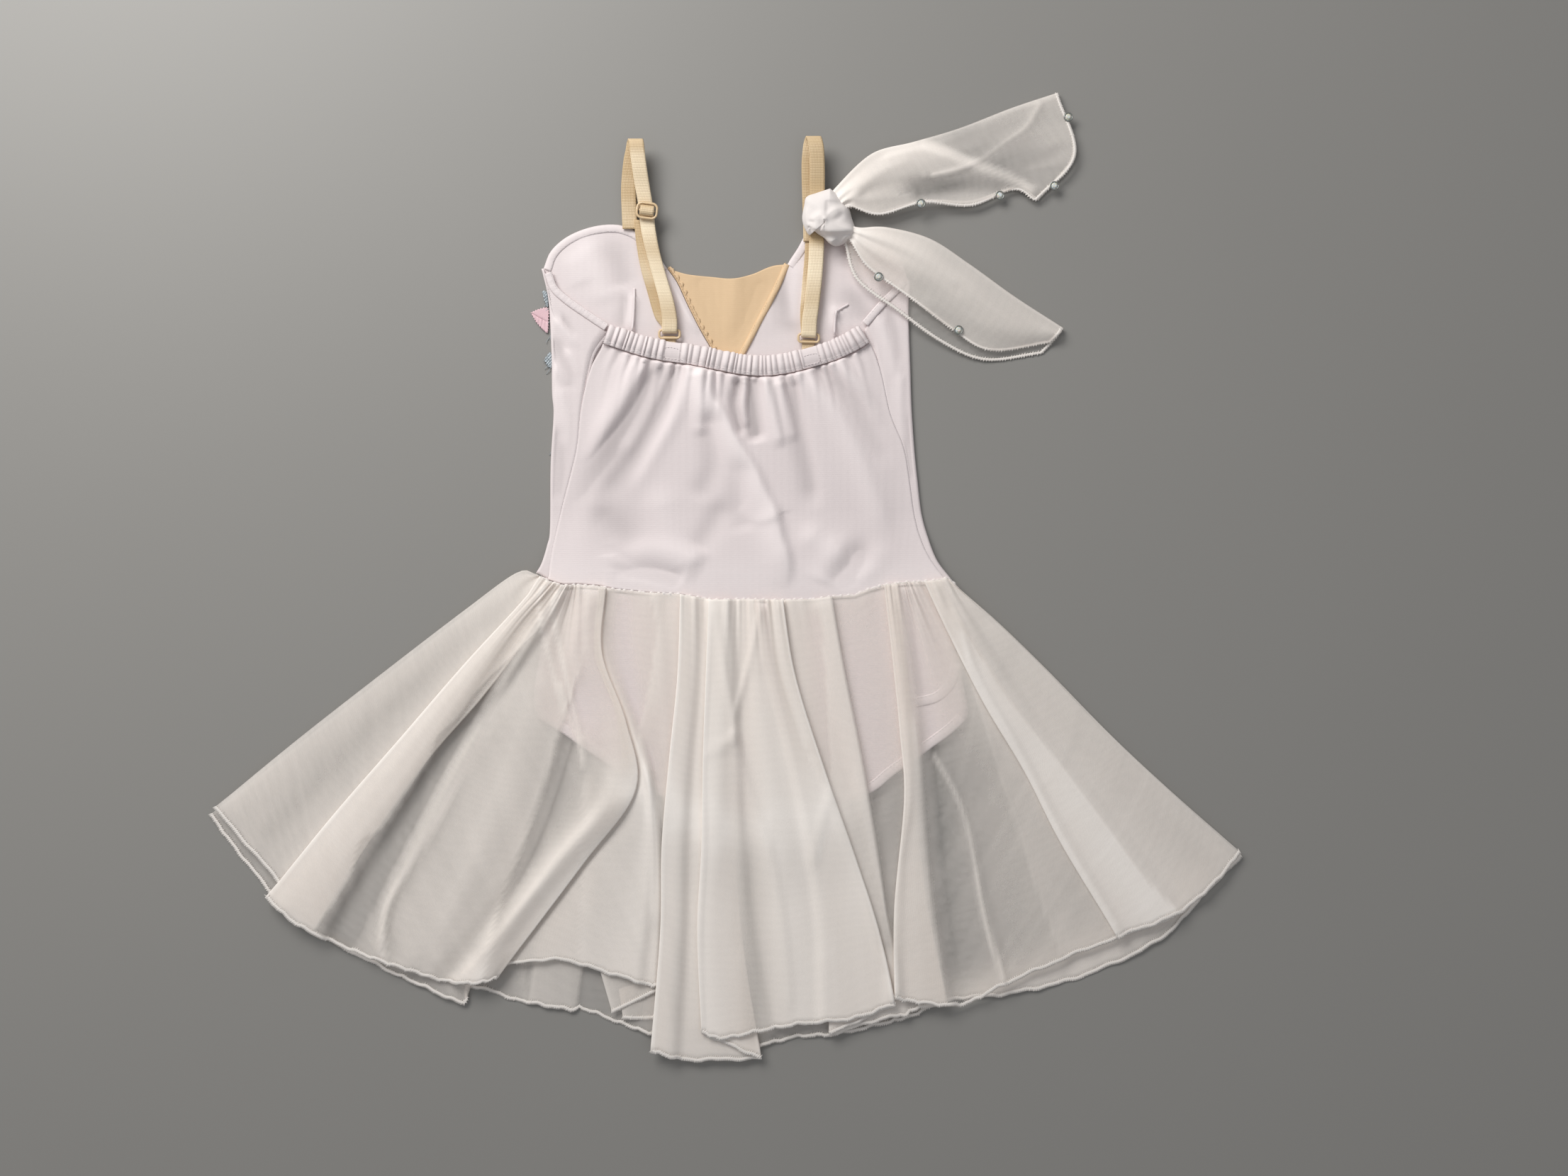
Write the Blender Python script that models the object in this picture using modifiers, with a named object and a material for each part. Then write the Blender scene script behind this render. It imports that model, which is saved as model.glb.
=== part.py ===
"""Dance dress laid flat on its front: camisole leotard, gathered back, and a full chiffon skirt.

Run with blender --background --python part.py. Lengths in the tables are millimetres on the
table top, measured from the middle of the back waist seam (x to the right, y towards the straps).
mm() turns them into metres about the middle of the whole dress, with the table at z = 0.
"""
import math

import bmesh
import bpy
import numpy as np
from mathutils import Vector

# ---------------------------------------------------------------- driving sizes (millimetres)
MIDDLE_X = -15.5         # middle of the whole footprint, from the waist seam's middle
MIDDLE_Y = 10.77
WALL = 1.0               # cloth wall
SEAM_GAP = 0.3           # between pieces that are sewn together
LIFT = 2.3               # one folded layer above the next
TABLE_Z = WALL / 2       # middle of a wall that lies on the table
BRIEF_FRONT_Z = 4.2      # leotard's front below the waist, over the front skirt
BRIEF_BACK_Z = 5.6
SKIRT_BACK_Z = 4.7       # lowest layer of the back skirt, over the front skirt
SKIRT_BACK_RISE = 3.2    # more where it passes over the brief
STRAP_WIDTH = 10.5
STRAP_WALL = 1.2
WIRE = 1.7               # ring and slider wire
EDGE_CLEAR = 3.0         # a layer stays up this far beyond a turned edge below it
EDGE_FALL = 8.0          # and is down this much further on
SEAM_INSET = 1.3         # back panel's edge inside the side seams
CASING_RIBS = 42
CASING_WIDTH = 14.0
CASING_FLOOR = 4.0       # underside of the casing, over the front panel and the straps' under runs
CASING_WALL = 2.2        # from there to the hollows between its ribs
RIB_HEIGHT = 0.9
BINDING_WIDTH = 4.6
BINDING_HEIGHT = 1.4
BINDING_INSET = 3.2      # middle of a turned edge from the outline it finishes
TURNED_Z = 0.8           # foot of a turned edge above the middle of its panel's wall

WHITE = (0.86, 0.83, 0.83, 1.0)
CHIFFON = (0.80, 0.78, 0.75, 1.0)
NUDE = (0.80, 0.62, 0.42, 1.0)
STRAP_NUDE = (0.80, 0.66, 0.43, 1.0)
PINK = (0.85, 0.62, 0.62, 1.0)
SILVER = (0.62, 0.66, 0.66, 1.0)

# ---------------------------------------------------------------- tables of the cut and its folds
# x, y along the waist seam as it lies, from the left side to the right
WAIST = [(-150, 12), (-139, 6), (-130, 3.5), (-120, 4), (-105, 3), (-95, 1), (-85, 0), (-70, -1.5),
         (-50, -2.2), (-25, -6.3), (0, -6), (22, -6.5), (45, -6), (60, -4), (75, -3), (85, 1),
         (95, 4), (110, 6), (130, 7), (141, 9), (149, 1)]

# x, y down each outline or seam
SIDE_LEFT = [(-148, 13), (-144, 20), (-140, 33), (-138, 45), (-137.5, 90), (-135.5, 125),
             (-136.5, 140), (-137, 170), (-139, 205), (-144, 228)]
SIDE_RIGHT = [(148, 2), (141, 10), (132, 22), (126, 37), (121, 55), (118, 80), (116, 100),
              (114, 130), (113, 160), (112, 190), (112, 205), (113, 220)]
SEAM_LEFT = [(-141, 9), (-138, 30), (-131, 60), (-121, 100), (-118, 130), (-113, 160),
             (-109, 172), (-100, 184)]
SEAM_RIGHT = [(141, 7), (129, 23), (122, 38), (117.5, 55), (114, 80), (110, 102), (101, 124),
              (97, 140), (94, 156), (91, 168), (89, 176), (84, 187)]
ARMHOLE_LEFT = [(-100, 184), (-115, 194), (-128, 203), (-138, 212), (-142, 221), (-144, 228)]
ARMHOLE_RIGHT = [(84, 187), (90, 194), (97, 202), (105, 210), (110, 215), (113, 220)]
NECK_LEFT = [(-144, 228), (-139, 240), (-128, 250), (-113, 256.5), (-98, 259), (-86, 257.5),
             (-74, 251), (-65, 240), (-57, 228)]
NECK_RIGHT = [(28, 231), (35, 242), (43, 255), (54, 260), (72, 258), (92, 250), (106, 238),
              (113, 220)]
VEE_LEFT = [(-57, 228), (-50, 218), (-43, 203), (-35, 187), (-27, 173), (-14, 150)]
VEE_RIGHT = [(-14, 150), (-3, 169), (8, 190), (15, 203), (22, 217), (28, 231)]
VEE_TOP = [(-57, 228), (-44, 224), (-25, 222), (-10, 221), (4, 224), (17, 229.5), (28, 231)]
CASING_LINE = [(-100, 182), (-88, 178), (-74, 173.5), (-58, 170), (-40, 167.5), (-20, 163.5),
               (-4, 160.5), (12, 159.5), (28, 161.5), (44, 165.5), (60, 170.5), (74, 177), (82, 182)]

# folds of the back bodice: start x, y, end x, y, half width, height (minus is a hollow)
BACK_FOLDS = [
    ("hollow_a", -62, 158, -122, 78, 9, -1.8), ("ridge_a", -50, 158, -112, 70, 8, 1.5),
    ("hollow_b", -38, 158, -84, 85, 7, -1.4), ("ridge_b", -30, 156, -60, 90, 6, 1.1),
    ("hollow_c", -10, 150, -10, 122, 6, -1.9), ("ridge_c", -32, 150, 20, 52, 7, 1.7),
    ("hollow_d", 8, 148, 6, 104, 7, -1.8), ("ridge_d", 0, 150, 22, 70, 5, 1.2),
    ("ridge_e", 18, 150, 34, 80, 5, 1.2), ("hollow_e", 28, 150, 44, 70, 6, -1.3),
    ("ridge_f", 44, 156, 82, 80, 8, 1.3), ("hollow_f", 64, 160, 98, 92, 6, -1.3),
    ("ridge_g", 78, 168, 106, 104, 6, 1.0), ("ridge_h", -92, 168, -112, 130, 6, 1.1),
    ("hollow_h", -82, 164, -104, 128, 6, -1.1), ("fold_low", 20, 52, 27, 0, 6, 1.8),
    ("hump_left", -84, 8, -54, 12, 8, -1.5), ("hump_right", 50, 10, 76, 22, 10, 1.8)]

# front skirt: what the cloth does at each line (over: turns back above itself, under: turns back
# below itself, empty: a soft crest or hollow), how far it stands up, and x, y from waist to hem
FRONT_LINES = [
    ("outer_left", "", 0.9, [(-148, 8), (-164, 11), (-200, -16), (-260, -63), (-320, -110), (-380, -158)]),
    ("left_a", "", 0.0, [(-138, 4), (-180, -60), (-240, -130), (-290, -175), (-358, -187)]),
    ("left_b", "", 1.2, [(-126, 3), (-165, -80), (-215, -160), (-270, -215), (-318, -232)]),
    ("left_c", "", 0.0, [(-115, 3), (-140, -80), (-185, -170), (-225, -235), (-264, -263)]),
    ("left_d", "", 1.6, [(-105, 3), (-130, -80), (-165, -170), (-198, -240), (-232, -278)]),
    ("flap_edge", "", 2.2, [(-98, 2), (-118, -80), (-148, -170), (-184, -240), (-201, -291)]),
    ("flap_foot", "", 0.0, [(-95, 1), (-114, -80), (-142, -170), (-176, -240), (-197, -279)]),
    ("low_a", "", 0.0, [(-88, 0), (-103, -80), (-127, -170), (-150, -240), (-160, -290)]),
    ("band_left", "", 1.5, [(-82, 0), (-98, -80), (-120, -170), (-143, -240), (-153, -291)]),
    ("band_right", "", 1.5, [(-74, -1), (-85, -80), (-102, -170), (-115, -240), (-124, -296)]),
    ("low_b", "", 0.0, [(-70, -2), (-80, -80), (-96, -170), (-110, -240), (-117, -295)]),
    ("low_c", "", 0.0, [(-55, -2), (-66, -80), (-76, -170), (-84, -240), (-88, -306)]),
    ("low_d", "", 1.6, [(-45, -3), (-52, -80), (-58, -170), (-62, -240), (-68, -313)]),
    ("centre_a", "", 0.0, [(-25, -6), (-28, -80), (-30, -170), (-33, -240), (-40, -321)]),
    ("centre_b", "", 1.6, [(0, -6), (0, -80), (0, -170), (3, -240), (2, -322)]),
    ("centre_c", "", 0.2, [(22, -7), (24, -80), (27, -170), (30, -240), (34, -315)]),
    ("centre_d", "", 1.6, [(45, -6), (50, -80), (55, -170), (60, -240), (62, -313)]),
    ("centre_e", "", 0.1, [(75, -3), (78, -80), (84, -170), (92, -240), (98, -305)]),
    ("right_a", "", 1.3, [(92, 3), (100, -80), (108, -170), (112, -240), (116, -300)]),
    ("right_b", "", 0.0, [(105, 5), (118, -80), (130, -170), (137, -240), (142, -289)]),
    ("right_c", "", 1.5, [(115, 6), (138, -80), (160, -165), (176, -230), (186, -284)]),
    ("right_d", "", 0.0, [(124, 6), (160, -75), (195, -155), (220, -215), (236, -272)]),
    ("right_e", "", 1.5, [(132, 7), (180, -65), (225, -130), (262, -190), (290, -243)]),
    ("right_f", "", 0.0, [(139, 7), (185, -48), (235, -100), (285, -155), (323, -213)]),
    ("outer_right", "", 0.9, [(147, 1), (172, -19), (200, -45), (240, -86), (280, -125), (349, -187)])]

# back skirt, the same columns
BACK_LINES = [
    ("outer_left", "", 0.0, [(-149, 12), (-163, 13.5), (-200, -13), (-260, -59), (-320, -106), (-377, -153)]),
    ("left_under", "", 0.6, [(-143, 8), (-165, -26), (-202, -70), (-246, -120), (-290, -168), (-330, -207)]),
    ("tuck_a", "over", 0.0, [(-133, 5), (-158, -34), (-188, -74), (-228, -120), (-268, -176), (-306, -237)]),
    ("left_fold", "over", 0.0, [(-146, 8), (-164, -13), (-200, -52), (-245, -104), (-292, -158), (-340, -217)]),
    ("left_crest", "", 1.4, [(-139, 6), (-165, -22), (-203, -72), (-240, -124), (-278, -176), (-318, -236)]),
    ("left_trough", "", 0.0, [(-134, 5), (-164, -34), (-196, -86), (-226, -138), (-256, -190), (-284, -252)]),
    ("mid_crest", "", 2.4, [(-129, 4), (-158, -44), (-186, -95), (-214, -148), (-241, -203), (-258, -262)]),
    ("plain_crest", "", 1.5, [(-125, 3), (-143, -46), (-148, -92), (-160, -142), (-188, -198), (-236, -269)]),
    ("wedge_trough", "", 0.0, [(-122, 3), (-130, -50), (-127, -100), (-134, -148), (-163, -204), (-216, -275)]),
    ("ridge_crest", "", 2.6, [(-117, 3), (-118, -45), (-111, -92), (-108, -146), (-142, -196), (-193, -277)]),
    ("ridge_edge", "under", 0.0, [(-112, 2), (-113, -45), (-100, -92), (-87, -140), (-119, -192), (-178, -273)]),
    ("tuck_b", "under", 0.0, [(-116, 3), (-118, -45), (-108, -92), (-98, -142), (-133, -196), (-202, -270)]),
    ("panel_a", "", 0.5, [(-108, 2), (-110, -45), (-98, -90), (-81, -145), (-98, -205), (-140, -260)]),
    ("panel_b", "", 0.8, [(-104, 2), (-107, -45), (-91, -90), (-74, -146), (-79, -215), (-98, -270)]),
    ("panel_edge", "", 2.6, [(-99, 1), (-102, -42), (-84, -92), (-68, -144), (-64, -215), (-68, -279)]),
    ("panel_foot", "", 0.0, [(-90, 0), (-92, -42), (-76, -92), (-63, -144), (-60, -215), (-63, -279)]),
    ("tuck_c", "over", 0.0, [(-41, -4), (-43, -60), (-48, -120), (-51, -180), (-52, -240), (-57, -324)]),
    ("centre_left", "over", 0.0, [(-47, -3), (-49, -60), (-55, -120), (-60, -180), (-61, -240), (-68, -325)]),
    ("centre_slope", "", 0.0, [(-34, -6), (-33, -60), (-36, -120), (-39, -180), (-41, -240), (-43, -331)]),
    ("tuck_d", "over", 0.0, [(-19, -6), (-16, -60), (-13, -120), (-10, -180), (-4, -250), (9, -330)]),
    ("centre_fold", "over", 0.0, [(-27, -7), (-29, -60), (-31, -120), (-32, -180), (-35, -240), (-32, -312)]),
    ("centre_a", "", 1.3, [(-14, -6), (-17, -60), (-20, -120), (-22, -180), (-24, -240), (-18, -316)]),
    ("centre_b", "", 0.0, [(-4, -6), (-4, -60), (-5, -120), (-4, -180), (0, -240), (8, -311)]),
    ("centre_c", "", 2.4, [(5, -6), (9, -60), (16, -120), (24, -180), (30, -240), (36, -306)]),
    ("centre_d", "", 0.4, [(14, -6), (21, -60), (36, -120), (52, -180), (66, -240), (74, -302)]),
    ("over_edge", "under", 0.0, [(24, -6.5), (33, -60), (53, -124), (74, -184), (92, -240), (103, -292)]),
    ("tuck_e", "under", 0.0, [(14, -6.5), (22, -60), (36, -120), (48, -180), (56, -240), (58, -313)]),
    ("second_slope", "", 0.0, [(40, -6), (52, -60), (68, -124), (80, -184), (94, -240), (100, -301)]),
    ("second_edge", "", 2.2, [(58, -4), (67, -55), (79, -116), (89, -176), (99, -236), (111, -300)]),
    ("second_foot", "", 0.0, [(63, -4), (72, -55), (84, -116), (94, -176), (103, -236), (117, -296)]),
    ("tuck_f", "over", 0.0, [(105, 5), (111, -50), (116, -100), (118, -150), (125, -215), (140, -290)]),
    ("right_left", "over", 0.0, [(97, 4), (103, -50), (108, -100), (111, -147), (104, -225), (105, -288)]),
    ("right_crest", "", 0.6, [(101, 4), (108, -50), (113, -100), (117, -150), (118, -220), (124, -291)]),
    ("right_a", "", 0.3, [(109, 5), (122, -55), (130, -110), (136, -170), (142, -230), (152, -292)]),
    ("right_b", "", 2.2, [(112, 6), (133, -55), (146, -110), (158, -170), (168, -225), (181, -287)]),
    ("right_c", "", 0.0, [(119, 7), (144, -42), (174, -95), (202, -150), (222, -205), (236, -262)]),
    ("tuck_g", "over", 0.0, [(135, 8), (158, -33), (188, -80), (222, -127), (258, -175), (300, -230)]),
    ("knife", "over", 0.0, [(125, 7), (144, -33), (168, -80), (196, -127), (222, -178), (262, -244)]),
    ("knife_a", "", 0.0, [(139, 8), (162, -31), (192, -77), (226, -124), (262, -171), (303, -228)]),
    ("right_d", "", 1.5, [(145, 6), (174, -22), (216, -66), (258, -114), (300, -162), (330, -206)]),
    ("outer_right", "", 0.0, [(148, 1), (172, -17.5), (210, -54), (256, -101), (300, -142), (348, -184)])]

# hair-elastic straps: x, y, z of the ribbon's middle and the lean of its width, in degrees
STRAP_LEFT = [(-83, 256, 3.9, 0), (-83.5, 266, 4.4, 0), (-84, 285, 6.0, 0), (-82.5, 303, 8.4, 0),
              (-80.8, 312, 9.6, 0), (-80, 317, 10.2, 0), (-79.3, 319.2, 11.8, 0), (-78.6, 317, 13.4, 0),
              (-78, 312, 13.6, -1), (-76.5, 300, 12.4, -4), (-74.3, 286, 10.0, -6), (-72, 272, 8.6, -7),
              (-70.2, 256, 8.0, -8), (-67, 240, 7.6, -12), (-62, 222, 7.2, -12), (-57.5, 206, 6.8, -6),
              (-55.3, 194, 6.4, -2), (-55, 187.5, 6.3, 0), (-55.2, 184.2, 5.9, 0), (-55.3, 182.9, 4.3, 0),
              (-55.5, 184.2, 2.7, 0), (-55.8, 187.5, 2.3, 0), (-58.5, 196, 2.4, -3), (-63, 212, 2.6, -10),
              (-67, 228, 4.0, -10), (-70, 246, 4.2, -8), (-72, 262, 5.0, -8)]
STRAP_RIGHT = [(44.5, 247, 4.0, 0), (44.2, 262, 4.2, 0), (43.6, 280, 5.4, 0), (43.2, 300, 8.0, 0),
               (44.0, 312, 9.6, 0), (45.0, 318, 10.2, 0), (46.2, 321.0, 11.8, 0), (47.5, 318, 13.4, 0),
               (48.5, 312, 13.6, 0), (49, 300, 12.0, 0), (49, 285, 9.2, 0), (48.8, 268, 7.8, 0),
               (48.6, 252, 7.4, -1), (48.2, 236, 7.0, -3), (46.8, 218, 6.8, -4), (45.0, 202, 6.6, -5),
               (43.6, 192, 6.4, -5), (43.3, 185.2, 6.3, -4), (43, 181.2, 6.0, -4), (42.9, 179.8, 4.3, -4),
               (42.8, 181.2, 2.6, -4), (42.6, 185.2, 2.3, -4), (42.8, 196, 2.4, -5), (43.6, 214, 2.4, -4)]

# chiffon tails of the bow: layer height in mm at the knot and at the hem, then x, y
UPPER_TAIL = [
    ("under_edge", 5.0, 1.0, [(71.9, 271.5), (95, 270), (125, 278), (160, 276), (188, 286), (205, 277)]),
    ("under_mid", 5.4, 2.2, [(68.7, 278.2), (92, 290), (120, 300), (152, 303), (190, 314), (229, 315)]),
    ("fold_low", 5.4, 1.6, [(62.9, 284.5), (88, 308), (118, 316.5), (150, 326), (186, 340), (219, 351)]),
    ("fold_high", 7.8, 3.9, [(62.9, 284.5), (88, 308), (118, 316.5), (150, 326), (186, 340), (219, 351)]),
    ("over_mid", 10.6, 6.0, [(68.7, 278.2), (91, 291), (119, 297), (151, 305), (189, 316), (230, 314)]),
    ("over_edge", 8.4, 3.8, [(71.9, 272.0), (92, 266), (123, 274), (158, 272), (189, 284), (204, 276)])]
LOWER_TAIL = [
    ("under_edge", 6.6, 0.8, [(68, 246), (76, 221), (104, 199), (136, 176), (168, 163), (208, 168)]),
    ("under_mid", 6.8, 2.0, [(73, 250), (88, 236), (114, 218), (144, 198), (176, 182), (217, 178)]),
    ("fold_low", 6.8, 1.6, [(79, 256), (98, 256), (128, 248), (156, 230), (188, 207), (222, 185)]),
    ("fold_high", 9.2, 3.9, [(79, 256), (98, 256), (128, 248), (156, 230), (188, 207), (222, 185)]),
    ("over_mid", 11.4, 6.2, [(76, 252), (92, 242), (118, 227), (147, 208), (178, 190), (220, 182)]),
    ("over_edge", 9.4, 3.2, [(72, 248), (84, 230), (112, 209), (144, 185), (172, 170), (214, 176)])]

TAIL_SETTLE = (0.3, 0.6)  # share of a tail's length at which it starts to fall, and how much more
KNOT_OUTLINE = [(59, 284), (50, 282), (42, 279), (39, 272), (38, 263), (41, 257), (46, 254),
                (52, 250), (60, 245.5), (66, 245), (72, 250), (76, 256), (74, 264), (71, 272),
                (67, 279), (63, 283)]
KNOT_MIDDLE = (56, 265)
KNOT_HEIGHT = 19.0
KNOT_FLOOR = 9.4         # underside of the knot over the strap's two runs
KNOT_LOW = 3.6           # and beside them
KNOT_LIP = 2.0           # its widest ring above its underside
KNOT_STRAP_X = 46        # middle of the strap below the knot
KNOT_STRAP_REACH = (20, 8)  # the underside is down this far from it, and rises over this much

BRIEF_OUTLINE = [(-142, 0), (-146, -40), (-150, -84), (-128, -100), (-80, -132), (-30, -156),
                 (0, -162), (30, -158), (58, -148), (88, -140), (120, -112), (140, -98), (155, -88),
                 (151, -62), (148, -40), (144, -8)]
WAIST_CORNERS = [(152, -4), (154, 24), (-154, 24), (-152, -4)]
BRIEF_FOOT = -0.4        # the brief's lower end sits this much lower than its waist
BRIEF_CLEAR = 5.0        # the back skirt stays up this far outside the brief
BRIEF_FALL = 22.0        # and is down on the front skirt this far out
PETAL = [(-153, 197), (-149, 190), (-144, 184.5), (-141.2, 183), (-140.6, 192), (-141, 200),
         (-147, 199.5)]
LACE_UPPER = [(-145, 212), (-142.6, 203), (-141, 201.3), (-141, 207), (-142.4, 212)]
LACE_LOWER = [(-143.5, 164), (-140, 168.5), (-138.6, 167.5), (-138.4, 158.6), (-141.5, 159.5)]


# ---------------------------------------------------------------- helpers
def mm(x, y, z):
    """World point in metres of a table point in millimetres."""
    return ((x - MIDDLE_X) / 1000, (y - MIDDLE_Y) / 1000, z / 1000)


def along(points, shares):
    """Points at the given shares of a smooth curve through a row of points."""
    pts = np.array(points, float)
    padded = np.vstack([2 * pts[0] - pts[1], pts, 2 * pts[-1] - pts[-2]])
    steps = np.linalg.norm(np.diff(pts[:, :2], axis=0), axis=1)
    knots = np.concatenate([[0], np.cumsum(steps)]) / steps.sum()
    out = []
    for share in np.clip(shares, 0, 1):
        i = min(int(np.searchsorted(knots, share, side="right")) - 1, len(pts) - 2)
        t = (share - knots[i]) / (knots[i + 1] - knots[i])
        a, b, c, d = padded[i:i + 4]
        out.append(0.5 * (2 * b + (c - a) * t + (2 * a - 5 * b + 4 * c - d) * t * t
                          + (3 * b - a - 3 * c + d) * t ** 3))
    return np.array(out)


def bend(points, cuts):
    """A smooth curve through a row of points, with the same number of steps between each two."""
    pts = np.array(points, float)
    padded = np.vstack([2 * pts[0] - pts[1], pts, 2 * pts[-1] - pts[-2]])
    out = []
    for i in range(len(pts) - 1):
        a, b, c, d = padded[i:i + 4]
        for k in range(cuts):
            t = k / cuts
            out.append(0.5 * (2 * b + (c - a) * t + (2 * a - 5 * b + 4 * c - d) * t * t
                              + (3 * b - a - 3 * c + d) * t ** 3))
    out.append(pts[-1])
    return out


def ease(t):
    """Smooth step from 0 to 1."""
    t = np.clip(t, 0, 1)
    return t * t * (3 - 2 * t)


def waist_y(x):
    """Where the waist seam lies at x."""
    xs, ys = np.array(WAIST, float).T
    return float(np.interp(x, xs, ys))


def front_z(y):
    """Middle of the leotard's front wall: on the table, then up over the front skirt's top."""
    return TABLE_Z + (BRIEF_FRONT_Z - TABLE_Z) * float(ease((58 - y) / 48))


def brief_depth(x, y):
    """1 over the brief and its close surroundings, falling to 0 away from it."""
    pts = np.array(BRIEF_OUTLINE + WAIST_CORNERS, float)
    nxt = np.roll(pts, -1, axis=0)
    run = nxt - pts
    t = np.clip(((x - pts[:, 0]) * run[:, 0] + (y - pts[:, 1]) * run[:, 1]) / (run ** 2).sum(1), 0, 1)
    near = np.hypot(x - pts[:, 0] - run[:, 0] * t, y - pts[:, 1] - run[:, 1] * t).min()
    crossings = ((pts[:, 1] > y) != (nxt[:, 1] > y)) & (
        x < run[:, 0] * (y - pts[:, 1]) / np.where(run[:, 1] == 0, 1e-9, run[:, 1]) + pts[:, 0])
    inside = crossings.sum() % 2 == 1
    return 1.0 if inside else float(ease((BRIEF_FALL - near) / (BRIEF_FALL - BRIEF_CLEAR)))


def back_base(x, y):
    """Middle of the lowest layer of the back skirt."""
    return SKIRT_BACK_Z + SKIRT_BACK_RISE * brief_depth(x, y)


def fold_height(x, y, folds):
    """Sum of the ridges and hollows of a fold table at a point."""
    total = 0.0
    for _name, x0, y0, x1, y1, half, height in folds:
        run = Vector((x1 - x0, y1 - y0))
        t = ((x - x0) * run.x + (y - y0) * run.y) / run.length_squared
        near = min(1.0, max(0.0, t))
        gap = math.hypot(x - x0 - run.x * near, y - y0 - run.y * near)
        total += height * math.exp(-(gap / half) ** 2) * (1 - 0.45 * near)
    return total


def finish_material(name, colour, roughness=0.6, metallic=0.0):
    """A Principled material."""
    mat = bpy.data.materials.new(name)
    mat.use_nodes = True
    shader = mat.node_tree.nodes["Principled BSDF"]
    shader.inputs["Base Color"].default_value = colour
    shader.inputs["Roughness"].default_value = roughness
    shader.inputs["Metallic"].default_value = metallic
    mat.diffuse_color = colour
    return mat


def add_object(name, verts, faces, mat):
    """A mesh object in the dress's collection, with its faces made consistent."""
    mesh = bpy.data.meshes.new(name)
    mesh.from_pydata([tuple(v) for v in verts], [], faces)
    obj = bpy.data.objects.new(name, mesh)
    DRESS.objects.link(obj)
    mesh.materials.append(mat)
    return obj


def outward(obj):
    """Turns the faces of a closed mesh outwards."""
    bm = bmesh.new()
    bm.from_mesh(obj.data)
    bmesh.ops.recalc_face_normals(bm, faces=bm.faces)
    bm.to_mesh(obj.data)
    bm.free()


def grid_faces(rows, columns, closed=False):
    """Quads over a grid of rows by columns, joined round if closed."""
    last = columns if closed else columns - 1
    return [(r * columns + c, r * columns + (c + 1) % columns,
             (r + 1) * columns + (c + 1) % columns, (r + 1) * columns + c)
            for r in range(rows - 1) for c in range(last)]


def cloth(name, grid, mat, wall=WALL):
    """A wall of cloth about a grid of middle points."""
    rows, columns = len(grid), len(grid[0])
    verts = [mm(*p) for row in grid for p in row]
    obj = add_object(name, verts, grid_faces(rows, columns), mat)
    thick = obj.modifiers.new("wall", "SOLIDIFY")
    thick.thickness = wall / 1000
    thick.offset = 0
    return obj


def runs_of(lines):
    """Splits fold lines into runs between turns: (first line, last line, rank in the stack)."""
    runs, start, rank = [], 0, 0
    for i, (_name, turn, _rise, _points) in enumerate(lines):
        if turn:
            runs.append((start, i, rank))
            rank += 1 if turn == "over" else -1
            start = i
    runs.append((start, len(lines) - 1, rank))
    return runs


def cover(x, low, high):
    """1 over a run's width and its turned edge, easing to 0 beside it."""
    out = max(low - x, x - high)
    return float(ease((EDGE_CLEAR + EDGE_FALL - out) / EDGE_FALL))


def folded_sheet(lines, shares, base, between=1):
    """Grid through fold lines: one row for each share of the way from waist to hem.

    base(x, y) is the wall's middle where nothing else lies below. Each run of cloth between two
    turns is lifted by the runs that lie under it, and one more point rounds each turn.
    """
    tracks = [along(points, shares) for _name, _turn, _rise, points in lines]
    runs = runs_of(lines)
    grid = []
    for r in range(len(shares)):
        spans = []
        for first, last, rank in runs:
            xs = [tracks[i][r][0] for i in range(first, last + 1)]
            spans.append((min(xs), max(xs), rank))
        row = []
        for n, (first, last, rank) in enumerate(runs):
            lower = [s for s in spans if s[2] < rank and near_span(s, spans[n])]
            upper = [s for s in spans if s[2] > rank and near_span(s, spans[n])]
            points = []
            for i in range(first, last + 1):
                x, y = tracks[i][r]
                points.append((x, y, lines[i][2]))
                if i < last:
                    x2, y2 = tracks[i + 1][r]
                    for k in range(1, between + 1):
                        t = k / (between + 1)
                        points.append((x + (x2 - x) * t, y + (y2 - y) * t,
                                       lines[i][2] + (lines[i + 1][2] - lines[i][2]) * float(ease(t))))
            if n:
                px, py = tracks[first - 1][r]
                x, y = tracks[first][r]
                size = math.hypot(x - px, y - py) or 1
                z = row[-1][2] + LIFT / 2 * (1 if rank > runs[n - 1][2] else -1)
                row.append((x + (x - px) / size * LIFT / 2, y + (y - py) / size * LIFT / 2, z))
            for x, y, rise in points:
                lift = LIFT * sum(cover(x, low, high) for low, high, _rank in lower)
                free = 1 - max([cover(x, low, high) for low, high, _rank in upper], default=0)
                row.append((x, y, base(x, y) + lift + rise * free))
        grid.append(row)
    return grid


def near_span(a, b):
    """True if two runs' widths come near each other."""
    reach = EDGE_CLEAR + EDGE_FALL
    return a[0] - reach < b[1] and b[0] - reach < a[1]


# ---------------------------------------------------------------- leotard
def wrapped(seam, side, armhole, row, step, share):
    """A point of the front panel's turned strip, in thirds from the seam to the side."""
    flat = seam[row] + (side[row] - seam[row]) * step / 3
    end = seam[-1] + (side[-1] - seam[-1]) * step / 3
    return flat + (armhole[step] - end) * share ** 2


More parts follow.
